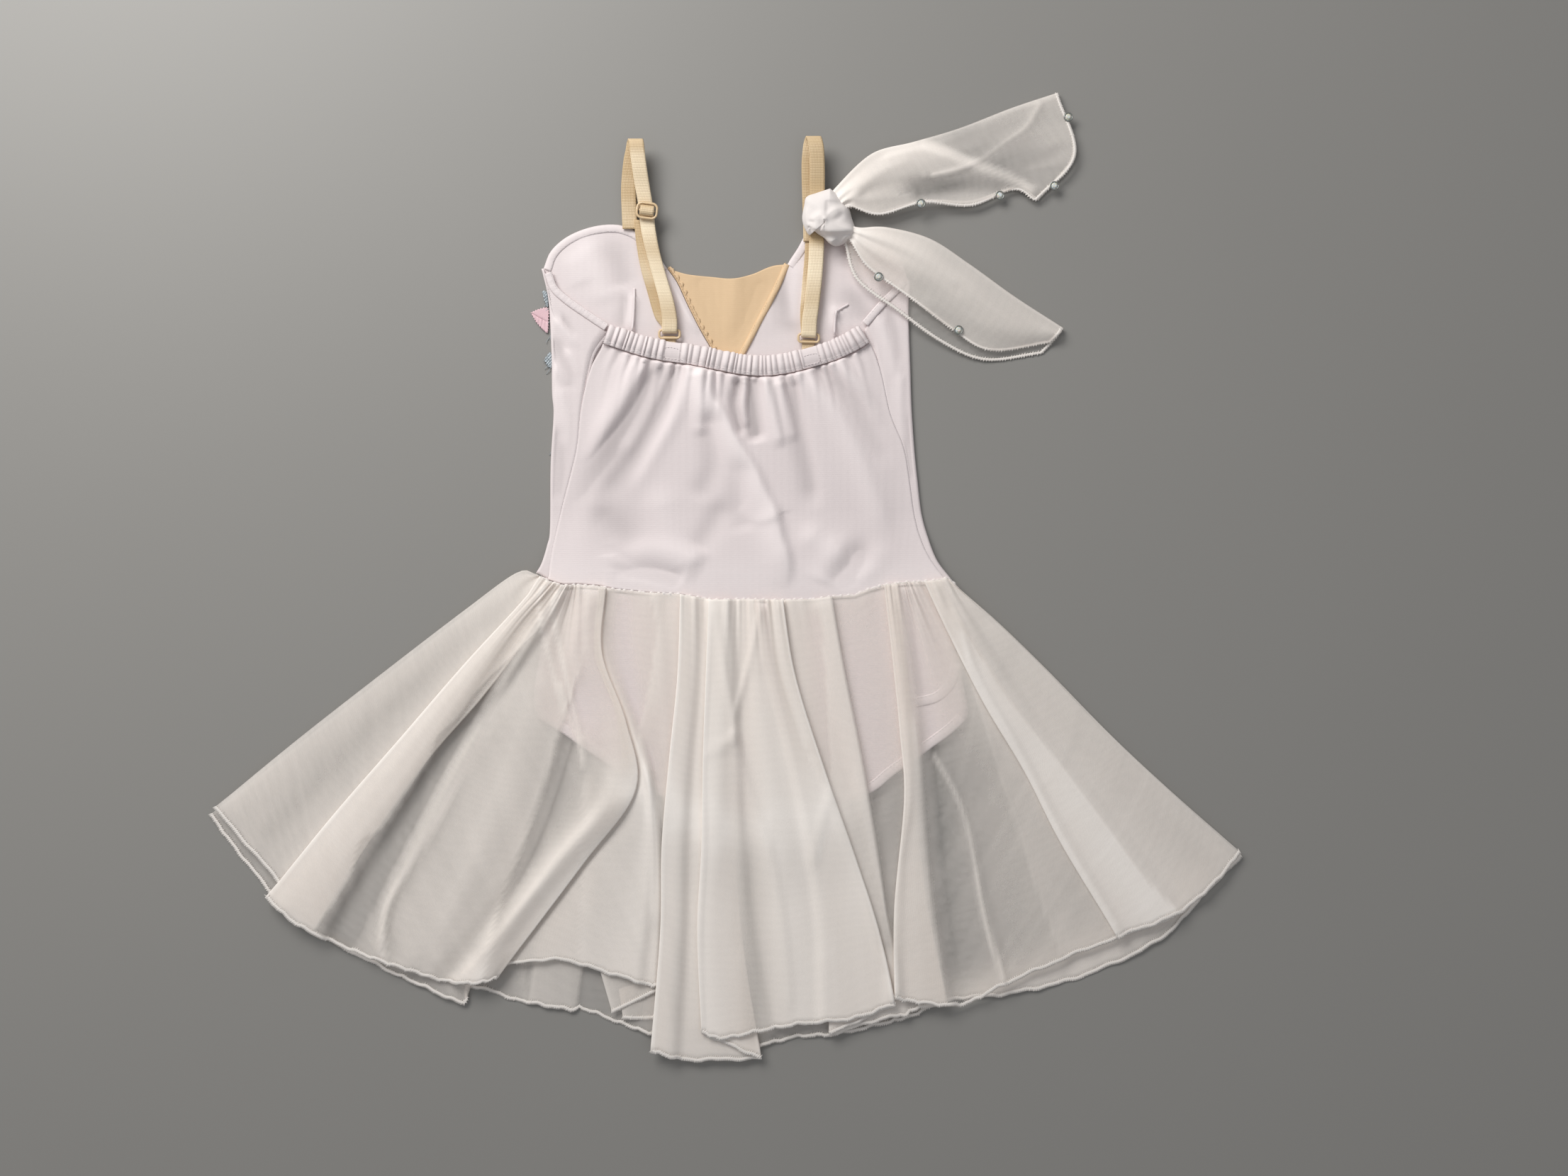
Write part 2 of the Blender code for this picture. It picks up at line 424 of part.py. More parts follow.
def bodice_front():
    """The front panel, which wraps round both sides and ends at the side seams on top."""
    rows, columns = 15, 22
    shares = np.linspace(0, 1, rows)
    top = NECK_LEFT[:-1] + VEE_LEFT[:-1] + VEE_RIGHT[:-1] + NECK_RIGHT
    neck = along(top, np.linspace(0, 1, columns))
    hem = [(x, waist_y(x) + SEAM_GAP) for x in np.linspace(-148, 148, columns)]
    left, right = along(SIDE_LEFT, shares), along(SIDE_RIGHT, shares)
    seam_left, seam_right = along(SEAM_LEFT, shares), along(SEAM_RIGHT, shares)
    arm_left, arm_right = (along(edge, np.linspace(0, 1, 4)) for edge in (ARMHOLE_LEFT, ARMHOLE_RIGHT))
    grid = []
    for r, v in enumerate(shares):
        row = []
        for k in range(3):
            x, y = wrapped(seam_left, left, arm_left, r, k, v)
            row.append((x, y, front_z(y) + LIFT))
        x, y = left[r]
        row.append((x, y, front_z(y) + LIFT))
        row.append((x - LIFT / 2, y, front_z(y) + LIFT / 2))
        for k in range(columns):
            u = k / (columns - 1)
            base = np.array(hem[k]) * (1 - v) + neck[k] * v
            fix_left = left[r] - (np.array(hem[0]) * (1 - v) + neck[0] * v)
            fix_right = right[r] - (np.array(hem[-1]) * (1 - v) + neck[-1] * v)
            x, y = base + fix_left * (1 - u) + fix_right * u
            row.append((x, y, front_z(y)))
        x, y = right[r]
        row.append((x + LIFT / 2, y, front_z(y) + LIFT / 2))
        row.append((x, y, front_z(y) + LIFT))
        for k in range(2, -1, -1):
            x, y = wrapped(seam_right, right, arm_right, r, k, v)
            row.append((x, y, front_z(y) + LIFT))
        grid.append(row)
    return cloth("bodice_front", grid, SPANDEX)


def neck_insert():
    """The skin-coloured vee between the cups."""
    grid = []
    for v in np.linspace(0.09, 1, 9):
        left = along(VEE_LEFT, [1 - v])[0] + (1.1, 0)
        right = along(VEE_RIGHT, [v])[0] - (1.1, 0)
        row = []
        for u in np.linspace(0, 1, 9):
            x, y = left * (1 - u) + right * u
            dip = along(VEE_TOP, [u])[0][1] - (VEE_TOP[0][1] * (1 - u) + VEE_TOP[-1][1] * u)
            row.append((x, y + dip * v ** 3, TABLE_Z))
        grid.append(row)
    return cloth("neck_insert", grid, SKIN)


def back_z(x, y, u):
    """Middle of the back panel's wall; u runs from seam to seam."""
    edge = float(ease(min(u, 1 - u) / 0.10))
    puff = 1.9 * math.sin(math.pi * u) ** 0.5 * float(ease((y + 12) / 26)) + 0.2
    folds = fold_height(x, y, BACK_FOLDS)
    seam = float(ease((y - waist_y(x) - 2) / 12))
    return front_z(y) + LIFT + edge * seam * max(0.0, puff + folds)


def bodice_back():
    """The back panel, gathered into its casing, with the folds that fall from it."""
    rows, columns = 18, 29
    shares = np.linspace(0, 1, rows)
    left, right = along(SEAM_LEFT, shares), along(SEAM_RIGHT, shares)
    casing = np.array(inset(along(CASING_LINE, np.linspace(0, 1, columns)),
                            CASING_WIDTH / 2 + SEAM_GAP + 0.3))
    grid = []
    for r, v in enumerate(shares):
        row = []
        for k in range(columns):
            u = k / (columns - 1)
            base = foot_of(u) * (1 - v) + casing[k] * v
            fix_left = left[r] + (SEAM_INSET, 0) - (foot_of(0) * (1 - v) + casing[0] * v)
            fix_right = right[r] - (SEAM_INSET, 0) - (foot_of(1) * (1 - v) + casing[-1] * v)
            fade = 1 - v ** 6
            x, y = base + (fix_left * (1 - u) ** 2 + fix_right * u ** 2) * fade
            row.append((x, y, back_z(x, y, u)))
        grid.append(row)
    return cloth("bodice_back", grid, SPANDEX)


def foot_of(share):
    """A point of the back panel's lower edge, from its left seam (0) to its right seam (1)."""
    low, high = SEAM_LEFT[0][0] + SEAM_INSET, SEAM_RIGHT[0][0] - SEAM_INSET
    x = low + (high - low) * share
    return np.array((x, waist_y(x) + SEAM_GAP))


def back_casing():
    """The elastic casing along the back's top edge: ribs raised over a plain inside."""
    steps = CASING_RIBS * 3
    line = along(CASING_LINE, np.linspace(0, 1, steps + 1))
    verts = []
    for k, (x, y) in enumerate(line):
        a, b = line[max(0, k - 1)], line[min(steps, k + 1)]
        run = (b - a) / np.linalg.norm(b - a)
        across = np.array((-run[1], run[0]))
        rib = (0.0, RIB_HEIGHT, RIB_HEIGHT * 0.4)[k % 3] * (0.75 + 0.25 * math.sin(k * 1.7))
        crown = CASING_WALL + rib
        section = [(-0.5, 0), (-0.5, CASING_WALL * 0.55), (-0.36, crown - 0.3), (0, crown),
                   (0.36, crown - 0.3), (0.5, CASING_WALL * 0.55), (0.5, 0)]
        for offset, rise in section:
            px, py = np.array((x, y)) + across * offset * CASING_WIDTH
            verts.append(mm(px, py, CASING_FLOOR + rise))
    faces = grid_faces(steps + 1, 7, closed=True)
    faces.append(tuple(range(6, -1, -1)))
    faces.append(tuple(steps * 7 + k for k in range(7)))
    obj = add_object("back_casing", verts, faces, SPANDEX)
    outward(obj)
    return obj


def binding(name, points, z):
    """The turned edge along a neckline or armhole, a low half-round roll on the panel."""
    count = len(points) * 3
    line = along(points, np.linspace(0, 1, count))
    verts = []
    for k, (x, y) in enumerate(line):
        a, b = line[max(0, k - 1)], line[min(count - 1, k + 1)]
        run = (b - a) / np.linalg.norm(b - a)
        across = np.array((-run[1], run[0]))
        for offset, rise in ((-0.5, 0), (-0.5, 0.5), (-0.2, 1), (0.2, 1), (0.5, 0.5), (0.5, 0)):
            px, py = np.array((x, y)) + across * offset * BINDING_WIDTH
            verts.append(mm(px, py, z + rise * BINDING_HEIGHT))
    faces = grid_faces(count, 6, closed=True)
    faces.append(tuple(range(5, -1, -1)))
    faces.append(tuple((count - 1) * 6 + k for k in range(6)))
    obj = add_object(name, verts, faces, SPANDEX)
    outward(obj)
    return obj


def inset(points, distance):
    """The same row of points moved to its right-hand side by a distance."""
    pts = np.array(points, float)
    runs = np.gradient(pts, axis=0)
    runs /= np.linalg.norm(runs, axis=1)[:, None]
    return [tuple(p + np.array((r[1], -r[0])) * distance) for p, r in zip(pts, runs)]


def brief(name, z):
    """One half of the brief below the waist, with leg openings at its lower corners."""
    pts = np.array(BRIEF_OUTLINE, float)
    left = pts[:7]
    right = pts[6:][::-1]
    shares = np.linspace(0, 0.97, 12)
    grid = []
    for v in shares:
        a, b = along(left, [v])[0], along(right, [v])[0]
        row = []
        for u in np.linspace(0, 1, 13):
            x, y = a * (1 - u) + b * u
            top = waist_y(x) - 2.0 - 4 * (abs(x) / 145) ** 8      # lower again at the side seams
            y = y + (top - (pts[0][1] * (1 - u) + pts[-1][1] * u)) * (1 - v) ** 4
            row.append((x, y, z + BRIEF_FOOT * float(ease((-y - 90) / 60))))
        grid.append(row)
    return cloth(name, grid, SPANDEX)


# ---------------------------------------------------------------- skirt
def skirt_front():
    """The front half of the skirt, which lies on the table."""
    def base(x, y):
        return TABLE_Z + 0.2 * float(ease((y + 10) / 12))
    grid = folded_sheet(FRONT_LINES, [0, 0.04, 0.14, 0.28, 0.42, 0.57, 0.72, 0.86, 1], base)
    seat_on_waist(grid, -SEAM_GAP)
    return cloth("skirt_front", grid, SHEER)


def skirt_back():
    """The back half of the skirt, pleated and folded over itself."""
    grid = folded_sheet(BACK_LINES, [0, 0.04, 0.11, 0.22, 0.35, 0.48, 0.61, 0.74, 0.88, 1], back_base)
    seat_on_waist(grid, 1.0)
    return cloth("skirt_back", grid, SHEER)


def seat_on_waist(grid, above):
    """Puts the first row of a skirt grid along the waist seam."""
    grid[0] = [(x, waist_y(x) + above, z) for x, y, z in grid[0]]


# ---------------------------------------------------------------- straps and fittings
def strap(name, path):
    """A flat elastic ribbon along its path."""
    grid = []
    for x, y, z, lean in bend(path, 2):
        angle = math.radians(lean)
        grid.append([(x + w * math.cos(angle), y + w * math.sin(angle), z)
                     for w in (-STRAP_WIDTH / 2, 0, STRAP_WIDTH / 2)])
    return cloth(name, grid, ELASTIC, STRAP_WALL)


def wire_loop(name, x, y, z, width, length, lean):
    """A rounded rectangle of wire."""
    corner = min(width, length) * 0.32
    outline = []
    for cx, cy, start in ((1, 1, 0), (-1, 1, 90), (-1, -1, 180), (1, -1, 270)):
        for k in range(4):
            angle = math.radians(start + 30 * k)
            outline.append((cx * (width / 2 - corner) + corner * math.cos(angle),
                            cy * (length / 2 - corner) + corner * math.sin(angle)))
    turn = math.radians(lean)
    curve = bpy.data.curves.new(name, "CURVE")
    curve.dimensions = "3D"
    curve.bevel_depth = WIRE / 2000
    curve.bevel_resolution = 1
    spline = curve.splines.new("POLY")
    spline.points.add(len(outline) - 1)
    for point, (px, py) in zip(spline.points, outline):
        rx = px * math.cos(turn) - py * math.sin(turn)
        ry = px * math.sin(turn) + py * math.cos(turn)
        point.co = (*mm(x + rx, y + ry, z), 1)
    spline.use_cyclic_u = True
    obj = bpy.data.objects.new(name, curve)
    DRESS.objects.link(obj)
    curve.materials.append(COATED)
    return obj


def tab(name, x, y, lean):
    """The short loop of elastic that ties a ring to the casing."""
    side = math.radians(lean)
    grid = [[(x + w * math.cos(side), y + d + w * math.sin(side), 2.6)
             for w in (-4.5, 0, 4.5)] for d in (0, -4, -8, -12)]
    return cloth(name, grid, ELASTIC, WALL)


# ---------------------------------------------------------------- bow and flower
def knot():
    """The chiffon knot round the right strap: one body, wound with two wraps."""
    angles = np.linspace(0, 1, 33)[:-1]
    rim = along(KNOT_OUTLINE + KNOT_OUTLINE[:1], angles)
    middle = np.array(KNOT_MIDDLE, float)
    rings = (1.0, 0.93, 0.78, 0.55, 0.3, 0.12)
    verts = []
    for top in (True, False):
        for share in rings:
            for k, point in enumerate(rim):
                x, y = middle + (point - middle) * share
                bulge = math.sqrt(max(0.0, 1 - share ** 2.6))
                groove = 0.8 * math.sin(3 * angles[k] * math.tau + 7 * share) * (1 - share ** 4)
                reach, rise = KNOT_STRAP_REACH
                over_strap = float(ease((reach - abs(x - KNOT_STRAP_X)) / rise))
                floor = KNOT_LOW + (KNOT_FLOOR - KNOT_LOW) * over_strap
                rim_z = floor + KNOT_LIP
                if share == 1.0:
                    z = rim_z
                elif top:
                    z = rim_z + (KNOT_HEIGHT - rim_z) * bulge + groove
                else:
                    z = floor + KNOT_LIP * share ** 6
                if top or share < 1.0:
                    verts.append(mm(x, y, z))
    count = len(rim)
    faces = grid_faces(len(rings), count, closed=True)
    start = count * len(rings)
    for c in range(count):
        faces.append((c, start + c, start + (c + 1) % count, (c + 1) % count))
    for r in range(len(rings) - 2):
        for c in range(count):
            a, b = start + r * count + c, start + r * count + (c + 1) % count
            faces.append((a, a + count, b + count, b))
    faces.append(tuple((len(rings) - 1) * count + c for c in range(count)))
    faces.append(tuple(start + (len(rings) - 2) * count + c for c in range(count)))
    obj = add_object("knot", verts, faces, SHEER)
    outward(obj)
    return obj


def tail(name, lines):
    """A doubled chiffon tail, folded along its upper edge."""
    shares = np.linspace(0, 1, 11)
    tracks = [along(points, shares) for _name, _near, _far, points in lines]
    turn = [line[0] for line in lines].index("fold_low")
    start, length = TAIL_SETTLE
    grid = []
    for r, v in enumerate(shares):
        fall = float(ease((v - start) / length))
        points = [(*track[r], near + (far - near) * fall)
                  for track, (_name, near, far, _points) in zip(tracks, lines)]
        row = []
        for i, (x, y, z) in enumerate(points):
            row.append((x, y, z))
            if i == turn:
                px, py, _pz = points[i - 1]
                out = LIFT / 2 / math.hypot(x - px, y - py)
                row.append((x + (x - px) * out, y + (y - py) * out, z + LIFT / 2))
            elif i + 1 < len(points):
                row.append(tuple((a + b) / 2 for a, b in zip(points[i], points[i + 1])))
        grid.append(row)
    return cloth(name, grid, SHEER)


def scrap(name, outline, z, mat):
    """A flat scrap of the front's flower that shows past the side."""
    middle = np.mean(np.array(outline, float), axis=0)
    verts = [mm(x, y, z) for x, y in outline] + [mm(*middle, z + 0.3)]
    count = len(outline)
    faces = [(k, (k + 1) % count, count) for k in range(count)]
    obj = add_object(name, verts, faces, mat)
    thick = obj.modifiers.new("wall", "SOLIDIFY")
    thick.thickness = WALL / 1000
    thick.offset = 0
    return obj


# ---------------------------------------------------------------- the dress
for old in list(bpy.data.objects):
    bpy.data.objects.remove(old, do_unlink=True)
DRESS = bpy.data.collections.new("dance_dress")
bpy.context.scene.collection.children.link(DRESS)
SPANDEX = finish_material("white_spandex", WHITE, 0.55)
SHEER = finish_material("white_chiffon", CHIFFON, 0.7)
SKIN = finish_material("nude_spandex", NUDE, 0.55)
ELASTIC = finish_material("nude_elastic", STRAP_NUDE, 0.45)
COATED = finish_material("nude_coated_wire", STRAP_NUDE, 0.3)
PINK_FELT = finish_material("pink_felt", PINK, 0.9)
SILVER_LACE = finish_material("silver_lace", SILVER, 0.5, 0.4)

bodice_front()
neck_insert()
bodice_back()
back_casing()
binding("binding_cup_left", inset(NECK_LEFT, BINDING_INSET), TABLE_Z + TURNED_Z)
binding("binding_cup_right", inset(NECK_RIGHT[:4], BINDING_INSET), TABLE_Z + TURNED_Z)
binding("binding_armhole_left", inset(along(ARMHOLE_LEFT, np.linspace(0.2, 0.9, 5)), -BINDING_INSET),
        TABLE_Z + LIFT + TURNED_Z)
binding("binding_armhole_right", inset(along(ARMHOLE_RIGHT, np.linspace(0.2, 0.9, 5)), BINDING_INSET),
        TABLE_Z + LIFT + TURNED_Z)
brief("brief_front", BRIEF_FRONT_Z)
brief("brief_back", BRIEF_BACK_Z)
skirt_front()
skirt_back()
strap("strap_left", STRAP_LEFT)
strap("strap_right", STRAP_RIGHT)
wire_loop("slider_left", -71.2, 269, 10.9, 14, 10.5, -7)
wire_loop("ring_left", -55.3, 181.9, 4.3, 14.4, 5.6, 0)
wire_loop("ring_right", 42.9, 179.1, 4.3, 14.4, 5.6, -1)
tab("tab_left", -55.3, 180.4, 0)
tab("tab_right", 42.7, 177.8, 0)
knot()
tail("tail_upper", UPPER_TAIL)
tail("tail_lower", LOWER_TAIL)
scrap("flower_petal", PETAL, TABLE_Z, PINK_FELT)
scrap("lace_upper", LACE_UPPER, TABLE_Z, SILVER_LACE)
scrap("lace_lower", LACE_LOWER, TABLE_Z, SILVER_LACE)
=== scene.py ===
"""Looks of a ballet dress that lies flat on its front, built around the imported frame.

Tables hold millimetres on the table top as seen from above, from the middle of the back waist
seam, x to the right and y towards the straps. place() turns them into metres in the frame. Text
tables have a row to a line, spaces between columns and points, and commas inside a point.
"""
import logging
import math
from dataclasses import dataclass, replace
from enum import Enum
from typing import Callable, Sequence

import bpy
import numpy as np
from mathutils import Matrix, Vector


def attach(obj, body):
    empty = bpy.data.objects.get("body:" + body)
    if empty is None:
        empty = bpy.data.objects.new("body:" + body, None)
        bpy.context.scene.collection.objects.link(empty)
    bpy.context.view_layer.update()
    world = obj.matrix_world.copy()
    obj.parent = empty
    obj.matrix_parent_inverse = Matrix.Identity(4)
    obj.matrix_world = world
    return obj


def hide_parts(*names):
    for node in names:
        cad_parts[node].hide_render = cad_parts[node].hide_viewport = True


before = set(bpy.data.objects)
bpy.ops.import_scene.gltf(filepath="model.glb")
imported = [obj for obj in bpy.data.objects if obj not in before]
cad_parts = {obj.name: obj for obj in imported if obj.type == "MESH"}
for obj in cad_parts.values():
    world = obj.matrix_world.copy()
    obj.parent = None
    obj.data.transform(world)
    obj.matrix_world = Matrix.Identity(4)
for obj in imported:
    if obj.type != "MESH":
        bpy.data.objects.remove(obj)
LOG = logging.getLogger("ballet_dress")
Spots = list[tuple[float, ...]]
Tone = tuple[float, float, float]

# ---------------------------------------------------------------- driving sizes (millimetres)
MIDDLE = (-15.5, 10.77, 0.0)     # middle of the whole footprint
EYE = (25.5, 2.75)               # the tables hold places as seen from above this point,
EYE_HEIGHT = 1000.0              # from this height over the table
SEAM_GAP = 0.3
LIFT = 2.3                       # one wall of the leotard above the next
TABLE_Z = 0.5
BRIEF_FRONT_Z = 4.2
BRIEF_BACK_Z = 5.6
BRIEF_CLEAR = 5.0                # the back skirt stays up this far beyond the brief
BRIEF_FALL = 64.0                # and is down here
SKIRT_BACK_Z = 4.7
SKIRT_BACK_RISE = 3.2
CHIFFON_LIFT = 1.5               # one folded layer of chiffon above the next
EDGE_CLEAR = 3.0                 # a layer stays up this far beyond a turned edge below it
EDGE_FALL = 8.0                  # and is down this much further on
STRAP_WIDTH = 10.5
CASING_WIDTH = 14.0
KNIT_WALL = 0.9
CHIFFON_WALL = 0.35
STITCH_THREAD = 0.00045          # metres
CUP_Y = 178.0                    # the cups' creases start here
CUP_RISE = 14.0


# ---------------------------------------------------------------- text tables
def spots(text: str) -> Spots:
    """Points from words."""
    return [tuple(float(number) for number in word.split(",")) for word in text.split()]


def table(text: str, heads: int) -> list[list]:
    """Rows of a text table: the words of its first columns, then the row's points."""
    rows = (line.split(maxsplit=heads) for line in text.strip().splitlines())
    return [[*words, spots(points)] for *words, points in rows]


@dataclass(frozen=True)
class Crease:
    """A soft ridge: half widths beside its direction, heights at its start and end (minus: hollow)."""

    left: float
    right: float
    high: float
    low: float
    points: Spots


def creases(text: str) -> list[Crease]:
    """Creases from rows of half width (or left/right), start height, end height and points."""
    out = []
    for width, high, low, points in table(text, 3):
        left, _, right = width.partition("/")
        out.append(Crease(float(left), float(right or left), float(high), float(low), points))
    return out


class Turn(str, Enum):
    """What the cloth does at a fold line: a soft crest, or a turn back above or below itself."""

    SOFT = "-"
    OVER = "over"
    UNDER = "under"


@dataclass(frozen=True)
class FoldLine:
    """A line of the cloth from its top edge to its hem; cover is the share of the light it stops."""

    turn: Turn
    rise: float
    cover: tuple[float, ...]
    points: Spots


def fold_lines(text: str) -> list[FoldLine]:
    """Fold lines from rows of name, turn, height above its layer, cover and points.

    Cover has one number or several at even steps from the top edge to the hem.
    """
    return [FoldLine(Turn(turn), float(rise), spots(cover)[0], points)
            for _name, turn, rise, cover, points in table(text, 4)]


# ---------------------------------------------------------------- the leotard's lines
WAIST = spots("""
    -150,12 -139,6 -130,3.5 -120,4 -105,3 -95,1 -85,0 -70,-1.5 -50,-2.2 -25,-6.3 0,-6 22,-6.5 45,-6 60,-4
    75,-3 85,1 95,4 110,6 130,7 141,9 149,1""")
SIDE_LEFT = spots("""
    -148,13 -144,20 -140,33 -138,45 -137.5,90 -135.5,125 -136.5,140 -137,170 -139,205 -144,228""")
SIDE_RIGHT = spots("""
    148,2 141,10 132,22 126,37 121,55 118,80 116,100 114,130 113,160 112,190 112,205 113,220""")
SEAM_LEFT = spots("-141,9 -138,30 -131,60 -121,100 -118,130 -113,160 -109,172 -100,184")
SEAM_RIGHT = spots("""
    141,7 129,23 122,38 117.5,55 114,80 110,102 101,124 97,140 94,156 91,168 89,176 84,187""")
ARMHOLE_LEFT = spots("-100,184 -115,194 -128,203 -138,212 -142,221 -144,228")
ARMHOLE_RIGHT = spots("84,187 90,194 97,202 105,210 110,215 113,220")
NECK_LEFT = spots("-144,228 -139,240 -128,250 -113,256.5 -98,259 -86,257.5 -74,251 -65,240 -57,228")
NECK_RIGHT = spots("28,231 35,242 43,255 54,260 72,258 92,250 106,238 113,220")
VEE_LEFT = spots("-57,228 -50,218 -43,203 -35,187 -27,173 -14,150")
VEE_RIGHT = spots("-14,150 -3,169 8,190 15,203 22,217 28,231")
VEE_TOP = spots("-57,228 -44,224 -25,222 -10,221 4,224 17,229.5 28,231")
CASING_LINE = spots("""
    -100,182 -88,178 -74,173.5 -58,170 -40,167.5 -20,163.5 -4,160.5 12,159.5 28,161.5 44,165.5 60,170.5
    74,177 82,182""")
# x, y, z and lean in degrees of the ribbon, from the cup over the loop and the ring, and back
STRAP_LEFT = spots("""
    -83,256,3.9,0 -83.5,266,4.4,0 -84,285,6,0 -82.5,303,8.4,0 -80.8,312,9.6,0 -80,317,10.2,0
    -79.3,319.2,11.8,0 -78.6,317,13.4,0 -78,312,13.6,-1 -76.5,300,12.4,-4 -74.3,286,10,-6 -72,272,8.6,-7
    -70.2,256,8,-8 -67,240,7.6,-12 -62,222,7.2,-12 -57.5,206,6.8,-6 -55.3,194,6.4,-2 -55,187.5,6.3,0
    -55.2,184.2,5.9,0 -55.3,182.9,4.3,0 -55.5,184.2,2.7,0 -55.8,187.5,2.3,0 -60.5,194,2.4,-4
    -66,212,2.6,-10 -70.5,228,4,-10 -73.5,246,4.2,-8 -75,262,5,-8""")
STRAP_RIGHT = spots("""
    44.5,247,4,0 44.2,262,4.2,0 43.6,280,5.4,0 43.2,300,8,0 44,312,9.6,0 45,318,10.2,0 46.2,321,11.8,0
    47.5,318,13.4,0 48.5,312,13.6,0 49,300,12,0 49,285,9.2,0 48.8,268,7.8,0 48.6,252,7.4,-1 48.2,236,7,-3
    46.8,218,6.8,-4 45,202,6.6,-5 43.6,192,6.4,-5 43.3,185.2,6.3,-4 43,181.2,6,-4 42.9,179.8,4.3,-4
    42.8,181.2,2.6,-4 42.6,185.2,2.3,-4 42.2,196,2.4,-5 43.4,214,2.4,-4 45,232,2.6,-3 46,250,3.2,-2""")
# round the brief from its left waist corner to its right one; WAIST_CORNERS close it above
BRIEF_OUTLINE = spots("""
    -142,0 -146,-40 -150,-84 -128,-100 -80,-132 -30,-156 0,-162 30,-158 58,-148 88,-140 120,-112 140,-98
    155,-88 151,-62 148,-40 144,-8""")
WAIST_CORNERS = spots("152,-4 154,24 -154,24 -152,-4")
PETAL = spots("-153,197 -149,190 -144,184.5 -141.2,183 -140.6,192 -141,200 -147,199.5")
LACE_UPPER = spots("-145,212 -142.6,203 -141,201.3 -141,207 -142.4,212")
LACE_LOWER = spots("-143.5,164 -140,168.5 -138.6,167.5 -138.4,158.6 -141.5,159.5")
LEG_RIGHT = spots("151,-88 140,-98 118,-114 100,-127 86,-138 60,-148")
LEG_FOLD = spots("147,-50 143,-64 133,-74 118,-78")
LEG_LEFT = spots("-146,-86 -127,-98 -104,-114 -80,-130 -56,-143")
KNOT_RIM = spots("""
    58,284.6 49,281.6 41.4,278.6 39.6,272.2 38.3,263.6 40,256.6 43.4,251.6 46.4,254.4 49.5,252.4 54,249.4
    57,246.2 61.5,243.8 67.3,245 73,248.1 76.2,252 75.8,256.5 73.4,263.5 71.8,269.6 69,273.6 63.8,279.6""")
# crystals on the tails' hems
STONES = spots("122.1,274 177.8,279.7 216.3,286.5 226,335 92.2,222.3 148.6,184.8")
# x and y of both ends
LACE_THREADS = spots("""
    -140,206,-144,201 -141,199,-146,196 -140,190,-145,186 -139,181,-143,175 -138,186,-140,177
    -139,168,-144,163 -138,162,-143,158 -139,158,-142,154 -138,100,-140,96 -138,94,-139.5,90
    -140,212,-138,204 -141,208,-137,200""")

# ---------------------------------------------------------------- creases of the knit and the bow
BACK_CREASES = creases("""
    11/8 -2.5 -1.4  -66,152 -82,123 -103,97 -122,74 -126,54
    6/10 1.9 .8  -77,156 -92,129 -111,100 -120,84
    9/7 -2 -.9  -51,155 -63,127 -79,97 -96,74 -104,58
    6/9 1.8 .6  -56,157 -72,124 -90,92
    6/5 1.6 .3  -43,157 -52,125 -69,94 -84,66
    5 1.6 1  -36,152 -34,134 -33,108
    8 -1.3 -.7  -26,118 -25,88 -36,62
    8 -.9 -.7  -20,56 -29,40 -36,28
    4.4/12 2.5 2.1  -29,153 -26,136 -18,126 -8,105 3,88 11,70 18,57 22.3,39 26.5,26 27.5,14 23.5,-2
    4/8 .6 .2  19,54 8,51 0,54 -8,60
    4/4 -2.3 -1.6  -7.6,146 -9,130 -3,108
    2.6 1.1 .6  -2,147 -2.6,130 0,114
    5.4 -2.4 -2.9  3,146 3,130 6.4,104
    3.5/5 2.1 1  14,148 18,128 24,100
    3/5 1.7 .8  23,146 27,132 33,104
    5/8 -1.6 -1.2  32,144 38,110 44,82 48,56
    7/9 1.7 .6  40,154 62,127 79,95 92,58 99,30
    6/8 -1.7 -.5  50,156 76,131 93,104 104,86
    4/6 1.3 .5  62,162 86,138 98,116
    8/6 -.6 -1.6  -88,15 -72,14 -57,10 -46,4
    9/12 .8 1.2  -88,27 -66,29 -44,24 -30,16
    10/10 -1.2 -.6  78,25 69,13 60,3
    9/9 .9 .4  64,31 56,16 50,4
    9 .6 .3  92,26 84,12 78,4
    9 1 .5  46,38 60,26 70,30
    10 -.9 -.6  -100,52 -86,37 -92,20
    12 .9 .4  -60,60 -52,36 -40,14
    9 -.8 -.5  -4,84 -6,60 -2,40""")
SIDE_CREASES = creases("""
    2.4/4 1.5 .3  -134,191 -127,182 -120,172
    3/2 -1.2 -.3  -130,192 -122,180
    2.4/4 1.3 .3  -126,168 -122,161 -118,153
    3/5 1.4 .2  -136,158 -131,152 -127,146
    4/6 -1 -.4  -134,174 -126,160 -124,140
    4/6 .9 .3  -132,140 -128,118 -130,98
    6 -.7 -.4  -134,110 -132,84 -134,62
    3/5 1 .4  94,190 100,172 104,150
    3/4 -.9 -.3  100,196 106,176 108,158
    3/5 .8 .3  108,150 108,126 112,102
    5 -.6 -.3  116,120 114,98 117,76""")
CUP_CREASES = creases("""
    1.6/3.2 1.6 2  -80,207 -81,196 -82,182
    2.6/3.6 -.9 -1.2  -86,206 -88,194 -90,184
    1.6/3 1.5 1.9  62,199 61.5,190 61,180
    1.4/3 1.2 .4  62,197 67,200 72,203
    7 -1 -.7  74,206 80,198 82,190
    1.6/2.6 1 1  -56,222 -50,210 -33,178
    9 1.3 .6  -112,240 -104,222 -100,202
    10 -1 -.8  -94,236 -88,214
    8 .9 .5  -122,232 -116,216
    8 -1.3 -1  22,214 28,196 30,176
    7 1.1 .7  36,226 34,206 32,186
    9 1.2 .6  92,240 88,222 84,206
    9 -.9 -.6  76,244 72,226""")
INSERT_CREASES = creases("""
    6 1.2 .3  -8,222 -9,208 -11,192
    7 -.8 -.5  -30,216 -24,196 -18,176
    6 -.8 -.5  10,214 2,196 -8,176""")
